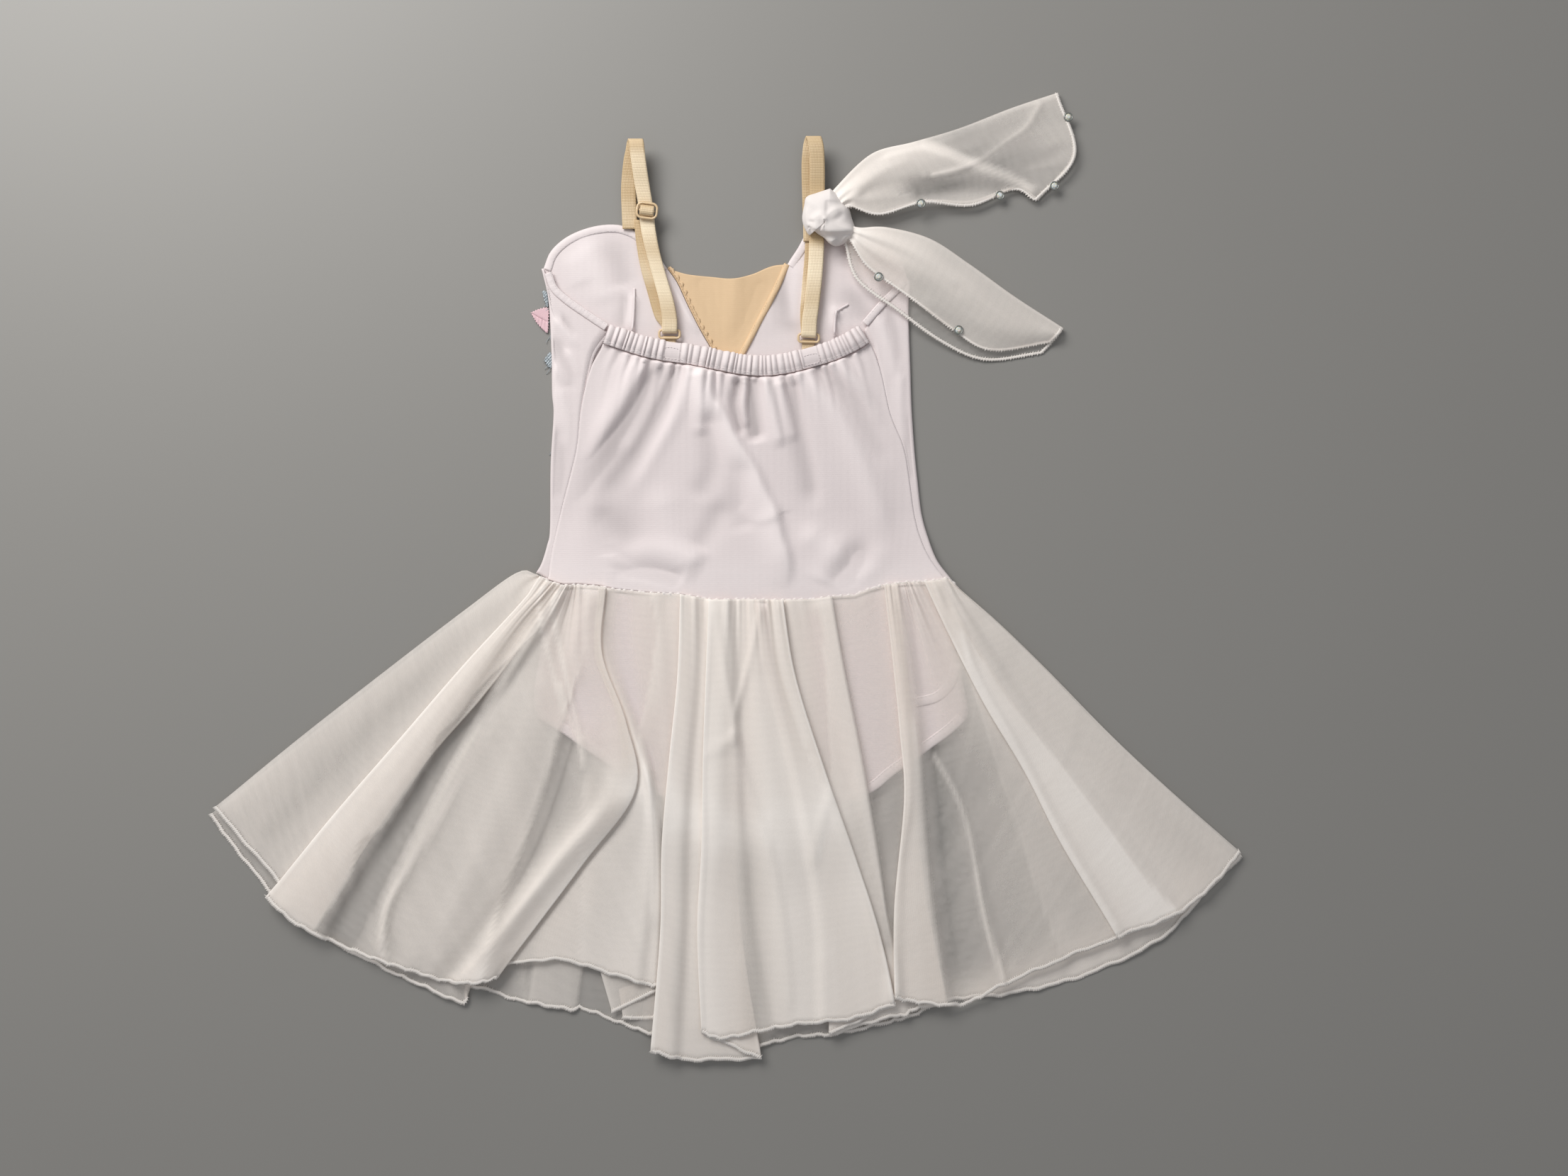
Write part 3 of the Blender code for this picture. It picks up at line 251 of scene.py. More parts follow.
UPPER_CREASES = creases("""
    2/5 1.5 1.2  100,307 125,312 150,303 175,293 203,284
    3/2 1.2 1.6  126,293 146,297 162,304 180,317 196,328 206,344
    4/5 -1.1 -.6  84,282 104,288 124,287 150,284
    3/4 1.3 .5  76,284 94,296 112,304
    3/3 .9 .3  76,276 96,278 118,282
    5 .9 .5  170,330 192,338 214,346
    4 -.8 -.4  196,300 214,306 226,318""")
LOWER_CREASES = creases("""
    3/4 1.5 .4  80,254 100,247 124,236 150,218
    3/4 1.3 .3  78,248 96,236 120,222
    4/3 -1 -.3  80,250 104,240 130,226
    3/3 1 .3  74,246 86,232 98,220
    6 .8 .6  130,204 160,190 196,180
    5 -.7 -.5  150,214 178,198 206,186""")
# where the upper layer of each tail stops more light (minus: less)
UPPER_MARKS = creases("""
    2.5/3 .3 .24  124,316 157,304 186.8,292.6 200,284.3
    45/1.5 -.2 -.2  113,321 124,316 157,304 186.8,292.6 200,284.3 208,272
    1.5/2.5 .3 .22  130.4,294.3 160.2,302.6 181.8,317.5 196,328 206,344
    12/6 -.34 -.3  120,282 140,284 156,286 176,286
    2/16 .24 .1  104,314 128,317 157,305 186,294
    9 .3 .1  66,282 92,303 116,314 134,318""")
LOWER_MARKS = creases("""
    10 .4 .12  74,253 96,248 122,238 150,218
    14 .12 .05  150,216 180,200 206,186""")
KNOT_FOLDS = creases("""
    2.6/9 2.2 1.6  44.6,259 47.5,263.5 51.2,265.6 54.6,263.2 62.7,258 75,255.2
    2.4/8 1.9 1.4  55.6,263 57.6,266.6 60.4,268.8 65,270.5 71,271.2
    6/2.2 1.4 .9  53.6,264.4 53.5,270 54,276.4 59.8,277.4 66,275.1 69.6,271.8
    3.4/1.6 1.1 1.2  46,257 55,254.7 62.7,254.5 70,254.9 75.3,254.8
    2.4 -1.6 -1.1  56.6,250.5 61.6,250.3 63.4,248.8 62.4,246.6
    2 -2 -2  44.7,260.6 44.5,256 44.1,252
    4/3 1.2 .6  40,268 42,261 42.2,254
    2.6 -1 -.6  66,266 62,262.6 58,261.4
    1/4 .9 .7  66,245.4 69,250 75.6,251.6
    4/5 .8 .5  44,276 50,272.5 53,267""")

# ---------------------------------------------------------------- skirt
# where its chiffon stops more light (minus: less): partly thicker cloth, partly painted light and shade,
# sheerer where folds lie in shade and denser on lit crests
BACK_MARKS = creases("""
    9 -.05 -.12  -206,-36 -270,-100 -337,-169
    5 .04 .1  -181,-26 -250,-106 -325,-194
    10/9 .12 .1  -165,6 -230,-46 -300,-100 -364,-149
    1/24 .16 .24  -158,-36 -176,-53 -194,-71 -206,-88 -220,-101 -224,-114 -237,-134 -249,-151 -260,-167 \
        -274,-174 -279,-194 -287,-209 -297,-225 -308,-240
    1.6/2.6 .14 .3  -170,-64 -191,-112 -219,-161 -239,-194 -256,-224 -258,-256
    8/1.2 -.06 -.16  -184,-102 -216,-160 -235,-194 -252,-224 -254,-256
    6 .04 .1  -150,-60 -170,-120 -198,-190 -222,-255
    31/1.4 -.32 -.22  -128,-84 -136,-110 -142,-133 -158,-179 -173,-218 -181,-250
    1/5 .14 .06  -129,-88 -142,-133 -158,-179 -173,-218 -181,-250
    2/2 .26 .26  -132,-66 -127,-86 -120,-103 -116,-121
    2.2/1.4 .34 .2  -145,2 -148,-10 -143,-36 -130,-88
    2.2/1.4 .34 .2  -135,0 -138,-13 -130,-53 -118,-104
    5/1.2 .1 .08  -116,-100 -116,-180 -118,-262
    9/1 .26 .24  -66.6,-5.4 -64,-26 -67.8,-61 -73,-84 -77,-101
    5/5 -.14 -.1  -86,-8 -86,-40 -80,-80
    6 -.2 -.06  -40,-8 -42,-60 -46,-150 -49,-240 -52,-300
    15 .3 .1  -84,-136 -56,-152 -30,-163 0,-168 30,-165 58,-154
    9 -.1 -.4  -154,-18 -190,-78 -218,-119 -248,-175 -273,-216 -286,-240
    11 -.12 -.36  -8,-115 -3,-165 1,-220 4,-270 6,-308
    7 -.05 -.25  64,-100 78,-160 92,-215 98,-250
    2/9 -.34 -.1  13,-8 20,-52 38,-110 40,-112
    1.2/10 -.3 -.2  50,-20 54,-60 56,-100 58,-120
    2/2 .2 .2  60,-147 54,-168 50,-186
    1/9 .2 .16  118,-96 122,-132 128,-214 140,-290
    1.6/1.8 .24 .34  131,-115 146,-141 157,-173 166,-228 181,-276
    14/1.2 .1 .14  156,-57 172,-108 187,-157 204,-208 221,-256
    1.4/30 .2 .32  166,-50 183,-77 232,-138 279,-202 302,-225
    2/2.4 .16 .2  151,-30 160,-58 186,-106 211,-155 233,-195 258,-236
    6/10 .1 .08  176,-26 214,-64 256,-108 298,-150 338,-188""")
FRONT_MARKS = creases("""
    15 .44 .5  150,-288 200,-274 240,-258 284,-232 320,-204
    2/9 .16 .16  -157,-230 -158,-300""")
# creases of its back half
SKIRT_CREASES = creases("""
    10 .6 1.4  -146,-2 -182,-40 -226,-98 -266,-154 -318,-222
    8 -.5 -.9  -160,-28 -196,-86 -226,-138 -256,-190 -280,-236
    2.2/6 .8 2.2  -150,-30 -170,-64 -200,-119 -218,-156 -239,-193 -253,-222 -258,-250
    11 .8 1  -146,-70 -158,-120 -180,-170 -205,-220 -226,-256
    5/7 -.3 -1  -128,-60 -126,-105 -133,-148 -152,-188 -176,-228
    10/6 1 3.8  -86,-145 -98,-152 -113,-166 -138,-192 -164,-220 -184,-248
    5/7 -.6 -1  -86,-164 -117,-190 -147,-224 -168,-250
    2/4 .6 1.6  -131,-68 -123,-90 -117,-108 -116,-124
    6/2.5 .8 1.4  -104,-20 -100,-50 -84,-90 -71,-134 -66,-176 -66,-230
    5 1.2 .4  -112,-8 -124,-40 -131,-72
    4 1 .5  -64,-6 -61,-45 -57,-90 -57,-112
    2/6 1.2 1.2  -27,-10 -28,-45 -32,-110 -31,-180 -34,-245 -33,-305
    2/3 1.1 1.2  -22,-14 -16,-55 -8,-101
    3/2 1 1.2  8,-14 1,-48 -9,-86
    2.2 1 1.4  -28,-113 -18,-109 -9,-101
    2/6 1.4 .9  -8,-104 4,-145 17,-186 26,-240 30,-290
    7 -.7 -.7  -14,-118 -8,-180 -4,-250
    7/3 1 1.4  22,-12 28,-55 46,-110 63,-160 80,-205 95,-260
    3/4 .8 1.1  58,-144 52,-165 46,-190
    6 -.7 -.6  10,-60 22,-120 38,-185 52,-250
    5/3 .9 1.2  50,-12 56,-60 72,-115 86,-170 96,-225 102,-285
    3/6 .8 1.4  102,-8 108,-50 112,-100 114,-146 108,-190 106,-240 107,-284
    9 -.6 -1  122,-118 134,-165 146,-220 158,-280
    2/3 1 2.2  131,-110 147,-142 157,-176 167,-216 177,-251 181,-279
    3/12 .3 .9  156,-57 172,-108 187,-157 204,-208 220,-256
    2.5/9 .8 1.8  150,-20 162,-60 190,-108 215,-156 238,-196 262,-238
    3/4 -.3 -.8  176,-60 209,-101 241,-147 272,-192 298,-224
    7 .6 1  172,-26 215,-75 255,-125 296,-178 320,-210
    4 .9 .2  118,2 122,-20 126,-52
    3 .8 .2  134,4 138,-16 142,-40""")
# fold lines of both halves, from left to right along the cloth; their cover is partly the cloth's thickness
# and partly painted light and shade
FRONT_LINES = fold_lines("""
    outer_left - .9 .24,.22,.26  -148,8 -164,11 -200,-16 -260,-63 -320,-110 -380,-158
    left_a - 0 .2  -138,4 -180,-60 -240,-130 -290,-175 -358,-187
    left_b - 1.2 .2  -126,3 -165,-80 -215,-160 -270,-215 -318,-232
    left_c - 0 .2  -115,3 -140,-80 -185,-170 -225,-235 -264,-263
    left_d - 1.6 .2  -105,3 -130,-80 -165,-170 -198,-240 -232,-278
    flap_edge - 2.2 .22,.22,.3  -98,2 -118,-80 -148,-170 -184,-240 -201,-291
    flap_foot - 0 .2  -95,1 -114,-80 -142,-170 -176,-240 -197,-279
    low_a - 0 .16,.14,.14  -88,0 -103,-80 -127,-170 -150,-240 -160,-290
    band_left - 1.5 .25,.35,.42  -82,0 -98,-80 -120,-170 -143,-240 -153,-291
    band_right - 1.5 .25,.35,.4  -74,-1 -85,-80 -102,-170 -115,-240 -124,-296
    low_b - 0 .14,.12,.12  -70,-2 -80,-80 -96,-170 -110,-240 -117,-295
    low_c - 0 .16,.14,.14  -55,-2 -66,-80 -76,-170 -84,-240 -88,-306
    low_d - 1.6 .2  -45,-3 -52,-80 -58,-170 -62,-240 -68,-313
    centre_a - 0 .2  -25,-6 -28,-80 -30,-170 -33,-240 -40,-321
    centre_b - 1.6 .2  0,-6 0,-80 0,-170 3,-240 2,-322
    centre_c - .2 .2  22,-7 24,-80 27,-170 30,-240 34,-315
    centre_d - 1.6 .2  45,-6 50,-80 55,-170 60,-240 62,-313
    centre_e - .1 .2  75,-3 78,-80 84,-170 92,-240 98,-305
    right_a - 1.3 .2,.06,.12  92,3 100,-80 108,-170 112,-240 116,-300
    right_b - 0 .2,.05,.12  105,5 118,-80 130,-170 137,-240 142,-289
    right_c - 1.5 .2,.14,.18  115,6 138,-80 160,-165 176,-230 186,-284
    right_d - 0 .2  124,6 160,-75 195,-155 220,-215 236,-272
    right_e - 1.5 .2  132,7 180,-65 225,-130 263,-191 291,-246
    right_f - 0 .2  139,7 185,-48 235,-100 285,-155 323,-213
    outer_right - .9 .24,.2,.24  147,1 172,-19 200,-45 240,-86 280,-125 349,-187""")
BACK_LINES = fold_lines("""
    outer_left - 0 .38,.36,.4  -149,12 -163,13.5 -200,-13 -260,-59 -320,-106 -377,-153
    left_under - .6 .38,.38,.42  -143,8 -165,-26 -202,-70 -246,-120 -290,-168 -330,-207
    tuck_a over 0 .38,.38,.38  -133,5 -158,-34 -188,-74 -228,-120 -268,-176 -306,-237
    left_fold over 0 .52,.6,.62  -146,8 -164,-13 -200,-52 -245,-104 -292,-158 -340,-217
    left_crest - 1.4 .44,.44,.42  -139,6 -165,-22 -203,-72 -240,-124 -278,-176 -318,-236
    left_trough - 0 .16,.02,.02  -134,5 -164,-34 -196,-86 -226,-138 -256,-190 -284,-252
    mid_crest - 2.4 .48,.5,.48  -129,4 -158,-44 -186,-95 -214,-148 -241,-203 -258,-262
    plain_crest - 1.5 .46,.54,.54  -125,3 -143,-46 -148,-92 -160,-142 -188,-198 -236,-269
    wedge_trough - 0 .44,.4,.38  -122,3 -130,-50 -127,-100 -134,-148 -163,-204 -216,-275
    ridge_crest - 2.6 .34,.36,.6,.97,.9  -117,3 -118,-45 -111,-92 -108,-146 -142,-196 -193,-277
    ridge_edge under 0 .34,.34,.66,.88,.7  -101,2 -103.5,-43 -86.5,-92 -80,-140 -117,-192 -178,-273
    tuck_b under 0 .46,.5,.46  -104.5,2 -107,-44 -91,-92 -93,-142 -133,-196 -202,-270
    panel_a - .5 .6,.66,.66  -103,2 -105.5,-44 -89,-90 -78,-145 -98,-205 -140,-260
    panel_b - .8 .64,.82,.74  -101,2 -103.7,-44 -86.5,-91 -72,-146 -79,-215 -98,-270
    panel_edge - 2.6 .6,.88,.74  -99,1 -102,-42 -84,-92 -68,-144 -64,-215 -68,-279
    panel_foot - 0 .18,.16,.3  -90,0 -92,-42 -76,-92 -63,-144 -60,-215 -63,-279
    tuck_c over 0 .5,.6,.52  -41,-4 -43,-60 -48,-120 -51,-180 -52,-240 -57,-324
    centre_left over 0 .76,.9,.72  -47,-3 -49,-60 -55,-120 -60,-180 -61,-240 -68,-325
    centre_slope - 0 .72,.82,.66  -34,-6 -33,-60 -36,-120 -39,-180 -41,-240 -43,-331
    tuck_d over 0 .6,.7,.6  -19,-6 -16,-60 -13,-120 -10,-180 -4,-250 9,-330
    centre_fold over 0 .76,.96,.95  -27,-7 -29,-60 -31,-120 -32,-180 -35,-240 -32,-312
    centre_a - 1.3 .72,.9,.82  -14,-6 -17,-60 -20,-120 -22,-180 -24,-240 -18,-316
    centre_b - 0 .62,.72,.66  -4,-6 -4,-60 -5,-120 -4,-180 0,-240 8,-311
    centre_c - 2.4 .66,.92,.86  5,-6 9,-60 16,-120 24,-180 30,-240 36,-306
    centre_d - .4 .6,.84,.76  14,-6 21,-60 36,-120 52,-180 66,-240 74,-302
    over_edge under 0 .58,.92,.76  24,-6.5 33,-60 53,-124 74,-184 92,-240 103,-292
    tuck_e under 0 .56,.6,.56  14,-6.5 22,-60 36,-120 48,-180 56,-240 58,-313
    second_slope - 0 .5,.74,.62  40,-6 52,-60 68,-124 80,-184 94,-240 100,-301
    second_edge - 2.2 .6,.74,.72  58,-4 67,-55 79,-116 89,-176 99,-236 111,-300
    second_foot - 0 .16,.12,.4  63,-4 72,-55 84,-116 94,-176 103,-236 117,-296
    tuck_f over 0 .24,.26,.26  105,5 111,-50 116,-100 118,-150 125,-215 140,-290
    right_left over 0 .32,.64,.7  97,4 103,-50 108,-100 111,-147 104,-225 105,-288
    right_crest - .6 .3,.6,.64  101,4 108,-50 113,-100 117,-150 118,-220 124,-291
    right_a - .3 .16,.02,.05  109,5 122,-55 130,-110 136,-170 142,-230 152,-292
    right_b - 2.2 .34,.14,.24  112,6 133,-55 146,-110 158,-170 168,-225 181,-278
    right_c - 0 .3,.32,.38  119,7 144,-42 174,-95 202,-150 221,-203 232,-256
    tuck_g over 0 .38,.42,.42  135,8 158,-33 188,-80 222,-127 258,-175 300,-230
    knife over 0 .52,.68,.72  125,7 144,-33 168,-80 196,-127 222,-178 262,-244
    knife_a - 0 .5,.66,.7  139,8 162,-31 192,-77 226,-124 262,-171 303,-228
    right_d - 1.5 .46,.44,.48  145,6 174,-22 216,-66 258,-114 300,-162 330,-206
    outer_right - 0 .46,.44,.46  148,1 172,-17.5 210,-54 256,-101 300,-142 348,-184""")
# the tails' fold lines: name, height near the knot, height at the hem
UPPER_TAIL = table("""
    under_edge 5 1  66,268 71.9,271.5 92,267.5 123,274.5 158,274 188,284 205,276
    under_mid 5.4 2.2  63,272 68.7,278.2 92,290 120,300 152,303 190,314 231,309
    fold_low 5.4 1.6  58,277 62.9,284.5 88,308 118,316.5 150,326 186,340 219,351
    fold_high 7.8 3.9  58,277 62.9,284.5 88,308 118,316.5 150,326 186,340 219,351
    over_mid 10.6 6  63,272 68.7,278.2 91,291 119,297 151,305 189,316 231.5,308
    over_edge 8.4 3.8  66,268.5 71.9,272 92,266 123,274 158,272 189,284 204,276""", 3)
LOWER_TAIL = table("""
    under_edge 6.6 .8  64,251 68,246 76,221 104,199 136,176 168,163 208,168
    under_mid 6.8 2  67,254 73,250 88,236 114,218 144,198 176,182 217,178
    fold_low 6.8 1.6  71,258 79,256 98,256 128,248 156,230 188,207 222,185
    fold_high 9.2 3.9  71,258 79,256 98,256 128,248 156,230 188,207 222,185
    over_mid 11.4 6.2  69,255 76,252 92,242 118,227 147,208 178,190 220,182
    over_edge 9.4 3.2  66,252 72,248 84,230 112,209 144,185 172,170 214,176""", 3)
# small folds of the front half's hem: height, three points above and three below
HEM_FOLDS = table("""
    2.0  -91,-280 -76,-276 -58,-276 -88,-301.5 -76,-302 -58,-301
    2.9  -104,-268 -84,-257 -58,-257 -95.5,-297.5 -80,-290 -58,-279""", 1)


# ---------------------------------------------------------------- node graphs
class Slot(str, Enum):
    """The record's material slots."""

    KNIT = "white_spandex"
    CHIFFON = "white_chiffon"
    SKIN = "nude_spandex"
    ELASTIC = "nude_elastic"
    COATED = "nude_coated_wire"
    FELT = "pink_felt"
    LACE = "silver_lace"


class Graph:
    """A node tree, shader or geometry, that one method adds nodes to."""

    def __init__(self, tree: bpy.types.NodeTree) -> None:
        """Keeps the tree."""
        self.tree = tree

    def node(self, kind: str, settings: dict | None = None, **sockets: object) -> bpy.types.Node:
        """Adds a node.

        Args:
            kind: The node's type.
            settings: Properties that are set before the sockets.
            **sockets: Socket names with underscores for spaces, or i0, i1 for an index, each with
                a plain value, a Value or a socket to link.
        Returns:
            The new node.
        """
        new = self.tree.nodes.new(kind)
        for key, value in (settings or {}).items():
            setattr(new, key, value)
        for key, value in sockets.items():
            index = key[1:]
            socket = new.inputs[int(index) if key[0] == "i" and index.isdigit() else key.replace("_", " ")]
            value = value.socket if isinstance(value, Value) else value
            if isinstance(value, bpy.types.NodeSocket):
                self.tree.links.new(value, socket)
            else:
                socket.default_value = value
        return new

    def value(self, kind: str, settings: dict | None = None, out: int | str = 0,
              **sockets: object) -> "Value":
        """Adds a node and wraps one of its outputs."""
        return Value(self, self.node(kind, settings, **sockets).outputs[out])

    def noise(self, coords: object, scale: float, detail: float, **more: object) -> "Value":
        """Adds a noise texture."""
        return self.value("ShaderNodeTexNoise", None, "Fac", Vector=coords, Scale=scale, Detail=detail,
                          **more)

    def kept(self, name: str) -> "Value":
        """Reads a number that the piece keeps for each of its points."""
        return self.value("ShaderNodeAttribute", {"attribute_name": name}, "Fac")

    def blend(self, factor: object, first: tuple, second: tuple) -> bpy.types.NodeSocket:
        """Mixes two colours."""
        return self.node("ShaderNodeMix", {"data_type": "RGBA"}, i0=factor, i6=first, i7=second).outputs[2]

    def spot(self) -> bpy.types.NodeSocket:
        """Adds the place on the object."""
        return self.node("ShaderNodeTexCoord").outputs["Object"]

    def split(self, vector: bpy.types.NodeSocket) -> tuple["Value", "Value"]:
        """The first two numbers of a vector."""
        parts = self.node("ShaderNodeSeparateXYZ", None, Vector=vector)
        return Value(self, parts.outputs[0]), Value(self, parts.outputs[1])

    def cloth_map(self) -> bpy.types.NodeSocket:
        """Reads the cloth lengths across and down a piece, in metres."""
        return self.node("ShaderNodeUVMap", {"uv_map": "cloth"}).outputs[0]

    def bump(self, height: "Value", strength: float, distance: float) -> bpy.types.NodeSocket:
        """A normal from a height."""
        return self.node("ShaderNodeBump", None, Height=height, Strength=strength,
                         Distance=distance).outputs[0]

    def surface(self, colour: object, rough: object, normal: object, **more: object
                ) -> bpy.types.NodeSocket:
        """Adds the main shader."""
        return self.node("ShaderNodeBsdfPrincipled", None, Base_Color=colour, Roughness=rough,
                         Normal=normal, **more).outputs[0]

    def vector(self, x: object, y: object, z: object) -> "Value":
        """Joins three numbers."""
        return self.value("ShaderNodeCombineXYZ", None, X=x, Y=y, Z=z)


class Value:
    """A number socket; arithmetic on it adds Math nodes."""

    def __init__(self, graph: Graph, socket: bpy.types.NodeSocket) -> None:
        """Wraps a socket of a graph."""
        self.graph, self.socket = graph, socket

    def math(self, operation: str, *sides: object, clamp: bool = False) -> "Value":
        """Adds one Math node over the given operands."""
        sockets = {f"i{k}": side for k, side in enumerate(sides)}
        return self.graph.value("ShaderNodeMath", {"operation": operation, "use_clamp": clamp}, **sockets)

    def __add__(self, other: object) -> "Value":
        """self + other."""
        return self.math("ADD", self, other)

    def __sub__(self, other: object) -> "Value":
        """self - other."""
        return self.math("SUBTRACT", self, other)

    def __rsub__(self, other: object) -> "Value":
        """other - self."""
        return self.math("SUBTRACT", other, self)

    def __mul__(self, other: object) -> "Value":
        """self * other."""
        return self.math("MULTIPLY", self, other)

    def sine(self) -> "Value":
        """The sine of self."""
        return self.math("SINE", self)

    def clamp(self) -> "Value":
        """self, held between 0 and 1."""
        return self.graph.value("ShaderNodeClamp", None, Value=self)

    def below(self, limit: float, soft: float) -> "Value":
        """1 under a limit, falling to 0 over a soft width beyond it."""
        return self.math("MULTIPLY", limit + soft - self, 1 / soft, clamp=True)


# ---------------------------------------------------------------- finishes
@dataclass(frozen=True)
class Finish:
    """A surface finish: builds one procedural material, which its pieces share."""

    name: str
    slot: Slot
    colour: Tone
    shade: Tone
    roughness: float

    def material(self) -> bpy.types.Material:
        """The finish's material, made at its first use."""
        found = bpy.data.materials.get(self.name)
        if found is None:
            found = bpy.data.materials.new(self.name)
            found.use_nodes = True
            found.node_tree.nodes.clear()
            graph = Graph(found.node_tree)
            graph.node("ShaderNodeOutputMaterial", None, Surface=self.shader(graph))
        return found

    def shader(self, graph: Graph) -> bpy.types.NodeSocket:
        """Builds the shader; each finish gives its own."""
        raise NotImplementedError

    def mixed(self, graph: Graph, factor: object) -> bpy.types.NodeSocket:
        """The finish's colour, going over to its shade."""
        return graph.blend(factor, (*self.colour, 1), (*self.shade, 1))

    def clouds(self, graph: Graph, coords: bpy.types.NodeSocket, size: float) -> bpy.types.NodeSocket:
        """The colour with slow, faint clouds of the shade, so many to a metre."""
        return self.mixed(graph, graph.noise(coords, size, 3.0, Roughness=0.55))


@dataclass(frozen=True)
class KnitFinish(Finish):
    """Smooth two-way stretch knit: fine courses and wales with a soft sheen."""

    pitch: float = 0.00055
    relief: float = 0.5
    deepest: float = 0.5     # brightness of the painted shade in the deepest hollows
    painted_highlight_gain: float = 1.19    # and of the painted highlight on the highest folds

    def shader(self, graph: Graph) -> bpy.types.NodeSocket:
        """Knit bump over a faintly clouded colour, with painted shade in hollows and a painted highlight on
        the highest folds.
        """
        coords = graph.spot()
        across, down = graph.split(coords)
        turn = math.tau / self.pitch
        wobble = graph.noise(coords, 420.0, 2.0)
        loops = (across * turn + wobble * 2.0).sine() * 0.5 + (down * turn * 0.7 + wobble).sine() * 0.35
        bump = graph.bump(loops + wobble, self.relief, 0.00012)
        rough = wobble * 0.12 + (self.roughness - 0.06)
        # the kept number paints shade into the colour where it is plus, in hollows, and a highlight where it
        # is minus, on folds
        hollow = graph.kept("hollow")
        dark = tuple(channel * self.deepest for channel in self.shade)
        painted_highlight = tuple(min(0.97, channel * self.painted_highlight_gain) for channel in self.colour)
        shaded = graph.blend(hollow.clamp(), self.clouds(graph, coords, 14.0), (*dark, 1))
        colour = graph.blend((hollow * -1.0).clamp(), shaded, (*painted_highlight, 1))
        return graph.surface(colour, rough, bump, Sheen_Weight=0.12, Sheen_Roughness=0.4,
                             Specular_IOR_Level=0.35)


@dataclass(frozen=True)
class ChiffonFinish(Finish):
    """Sheer crepe chiffon: light passes between and through the threads of each thin wall."""

    glow: float = 0.3
    pitch: float = 0.0012

    def shader(self, graph: Graph) -> bpy.types.NodeSocket:
        """A mix of clear gaps, lit threads and light that comes through."""
        uv, coords = graph.cloth_map(), graph.spot()
        across, along_it = graph.split(uv)
        crinkle = graph.noise(uv, 650.0, 4.0, Roughness=0.7)
        turn = math.tau / self.pitch
        threads = (across * turn + crinkle * 5.0).sine() * (along_it * turn + crinkle * 5.0).sine()
        ripple = (graph.noise(uv, 9.0, 1.0) * 60.0 + along_it * 900.0).sine()
        drift = graph.noise(coords, 18.0, 2.0)
        turned = graph.kept("edge").below(0.0012, 0.0006)
        long_way = graph.node("ShaderNodeMapping", None, Vector=uv, Scale=(70.0, 8.0, 1.0)).outputs[0]
        streaks = graph.noise(long_way, 1.0, 2.0)
        # the kept cover carries painted light and shade as well as the cloth's thickness
        cover = (threads * 0.018 + (crinkle - 0.5) * 0.12 + ripple * 0.008 + (drift - 0.5) * 0.08
                 + (streaks - 0.5) * 0.16 + graph.kept("cover") + turned * 0.25)
        bump = graph.bump(crinkle + threads * 0.2, 0.35, 0.0004)
        cloth_face = graph.surface(self.clouds(graph, coords, 9.0), self.roughness, bump, Sheen_Weight=0.1,
                                   Sheen_Roughness=0.5, Specular_IOR_Level=0.2)
        through = graph.node("ShaderNodeBsdfTranslucent", None, Color=(*self.colour, 1), Normal=bump)
        lit = graph.node("ShaderNodeMixShader", None, Fac=self.glow, i1=cloth_face, i2=through.outputs[0])
        clear = graph.node("ShaderNodeBsdfTransparent", None, Color=(1, 1, 1, 1))
        return graph.node("ShaderNodeMixShader", None, Fac=cover, i1=clear.outputs[0],
                          i2=lit.outputs[0]).outputs[0]


@dataclass(frozen=True)
class RibbonFinish(Finish):
    """Satin-faced elastic: fine ribs across it, its satin face, painted lighter as a sheen, up between two
    lengths in m.
    """

    rib: float = 0.0011
    line: float = 0.0009
    satin_sheen_span: tuple[float, float] = (0.0, 0.0)

    def shader(self, graph: Graph) -> bpy.types.NodeSocket:
        """Ribs and lines, read from the cloth map, with a painted satin sheen in the colour."""
        uv = graph.cloth_map()
        across, along_it = graph.split(uv)
        fuzz = graph.noise(uv, 900.0, 2.0)
        ribs = (along_it * (math.tau / self.rib) + fuzz).sine()
        lines = (across * (math.tau / self.line)).sine()
        bump = graph.bump(ribs * 0.6 + lines * 0.5 + fuzz * 0.4, 0.5, 0.0002)
        worn = graph.noise(uv, 60.0, 3.0)
        # slow bands along the length: painted satin sheen
        sheen_band_coords = graph.node("ShaderNodeMapping", None, Vector=uv, Scale=(0.0, 34.0, 1.0)).outputs[0]
        band = graph.noise(sheen_band_coords, 1.0, 1.0)
        # the stretch whose satin face is up is painted lighter, a painted sheen; off it the colour goes
        # toward the darker shade, partly the matte back's own tone and partly painted shade
        start, end = self.satin_sheen_span
        satin_face_sheen = ((along_it - start) * 150.0).clamp() * ((along_it * -1.0 + end) * 150.0).clamp()
        mix = ((band - 0.5) * 2.2 + worn * 0.3 + ribs * 0.1 + (satin_face_sheen * -0.62 + 0.78)).clamp()
        return graph.surface(self.mixed(graph, mix), fuzz * 0.15 + (self.roughness - 0.07), bump,
                             Sheen_Weight=0.15, Specular_IOR_Level=0.55)


@dataclass(frozen=True)
class FuzzyFinish(Finish):
    """Felt, lace or thread: short fibres over a mottled colour."""

    grain: float = 2500.0
    metallic: float = 0.0

    def shader(self, graph: Graph) -> bpy.types.NodeSocket:
        """Fibre bump and mottling."""
        fibre = graph.noise(graph.spot(), self.grain, 4.0, Roughness=0.7)
        return graph.surface(self.mixed(graph, fibre), fibre * 0.2 + (self.roughness - 0.1),
                             graph.bump(fibre, 0.5, 0.0002), Metallic=self.metallic, Sheen_Weight=0.2)


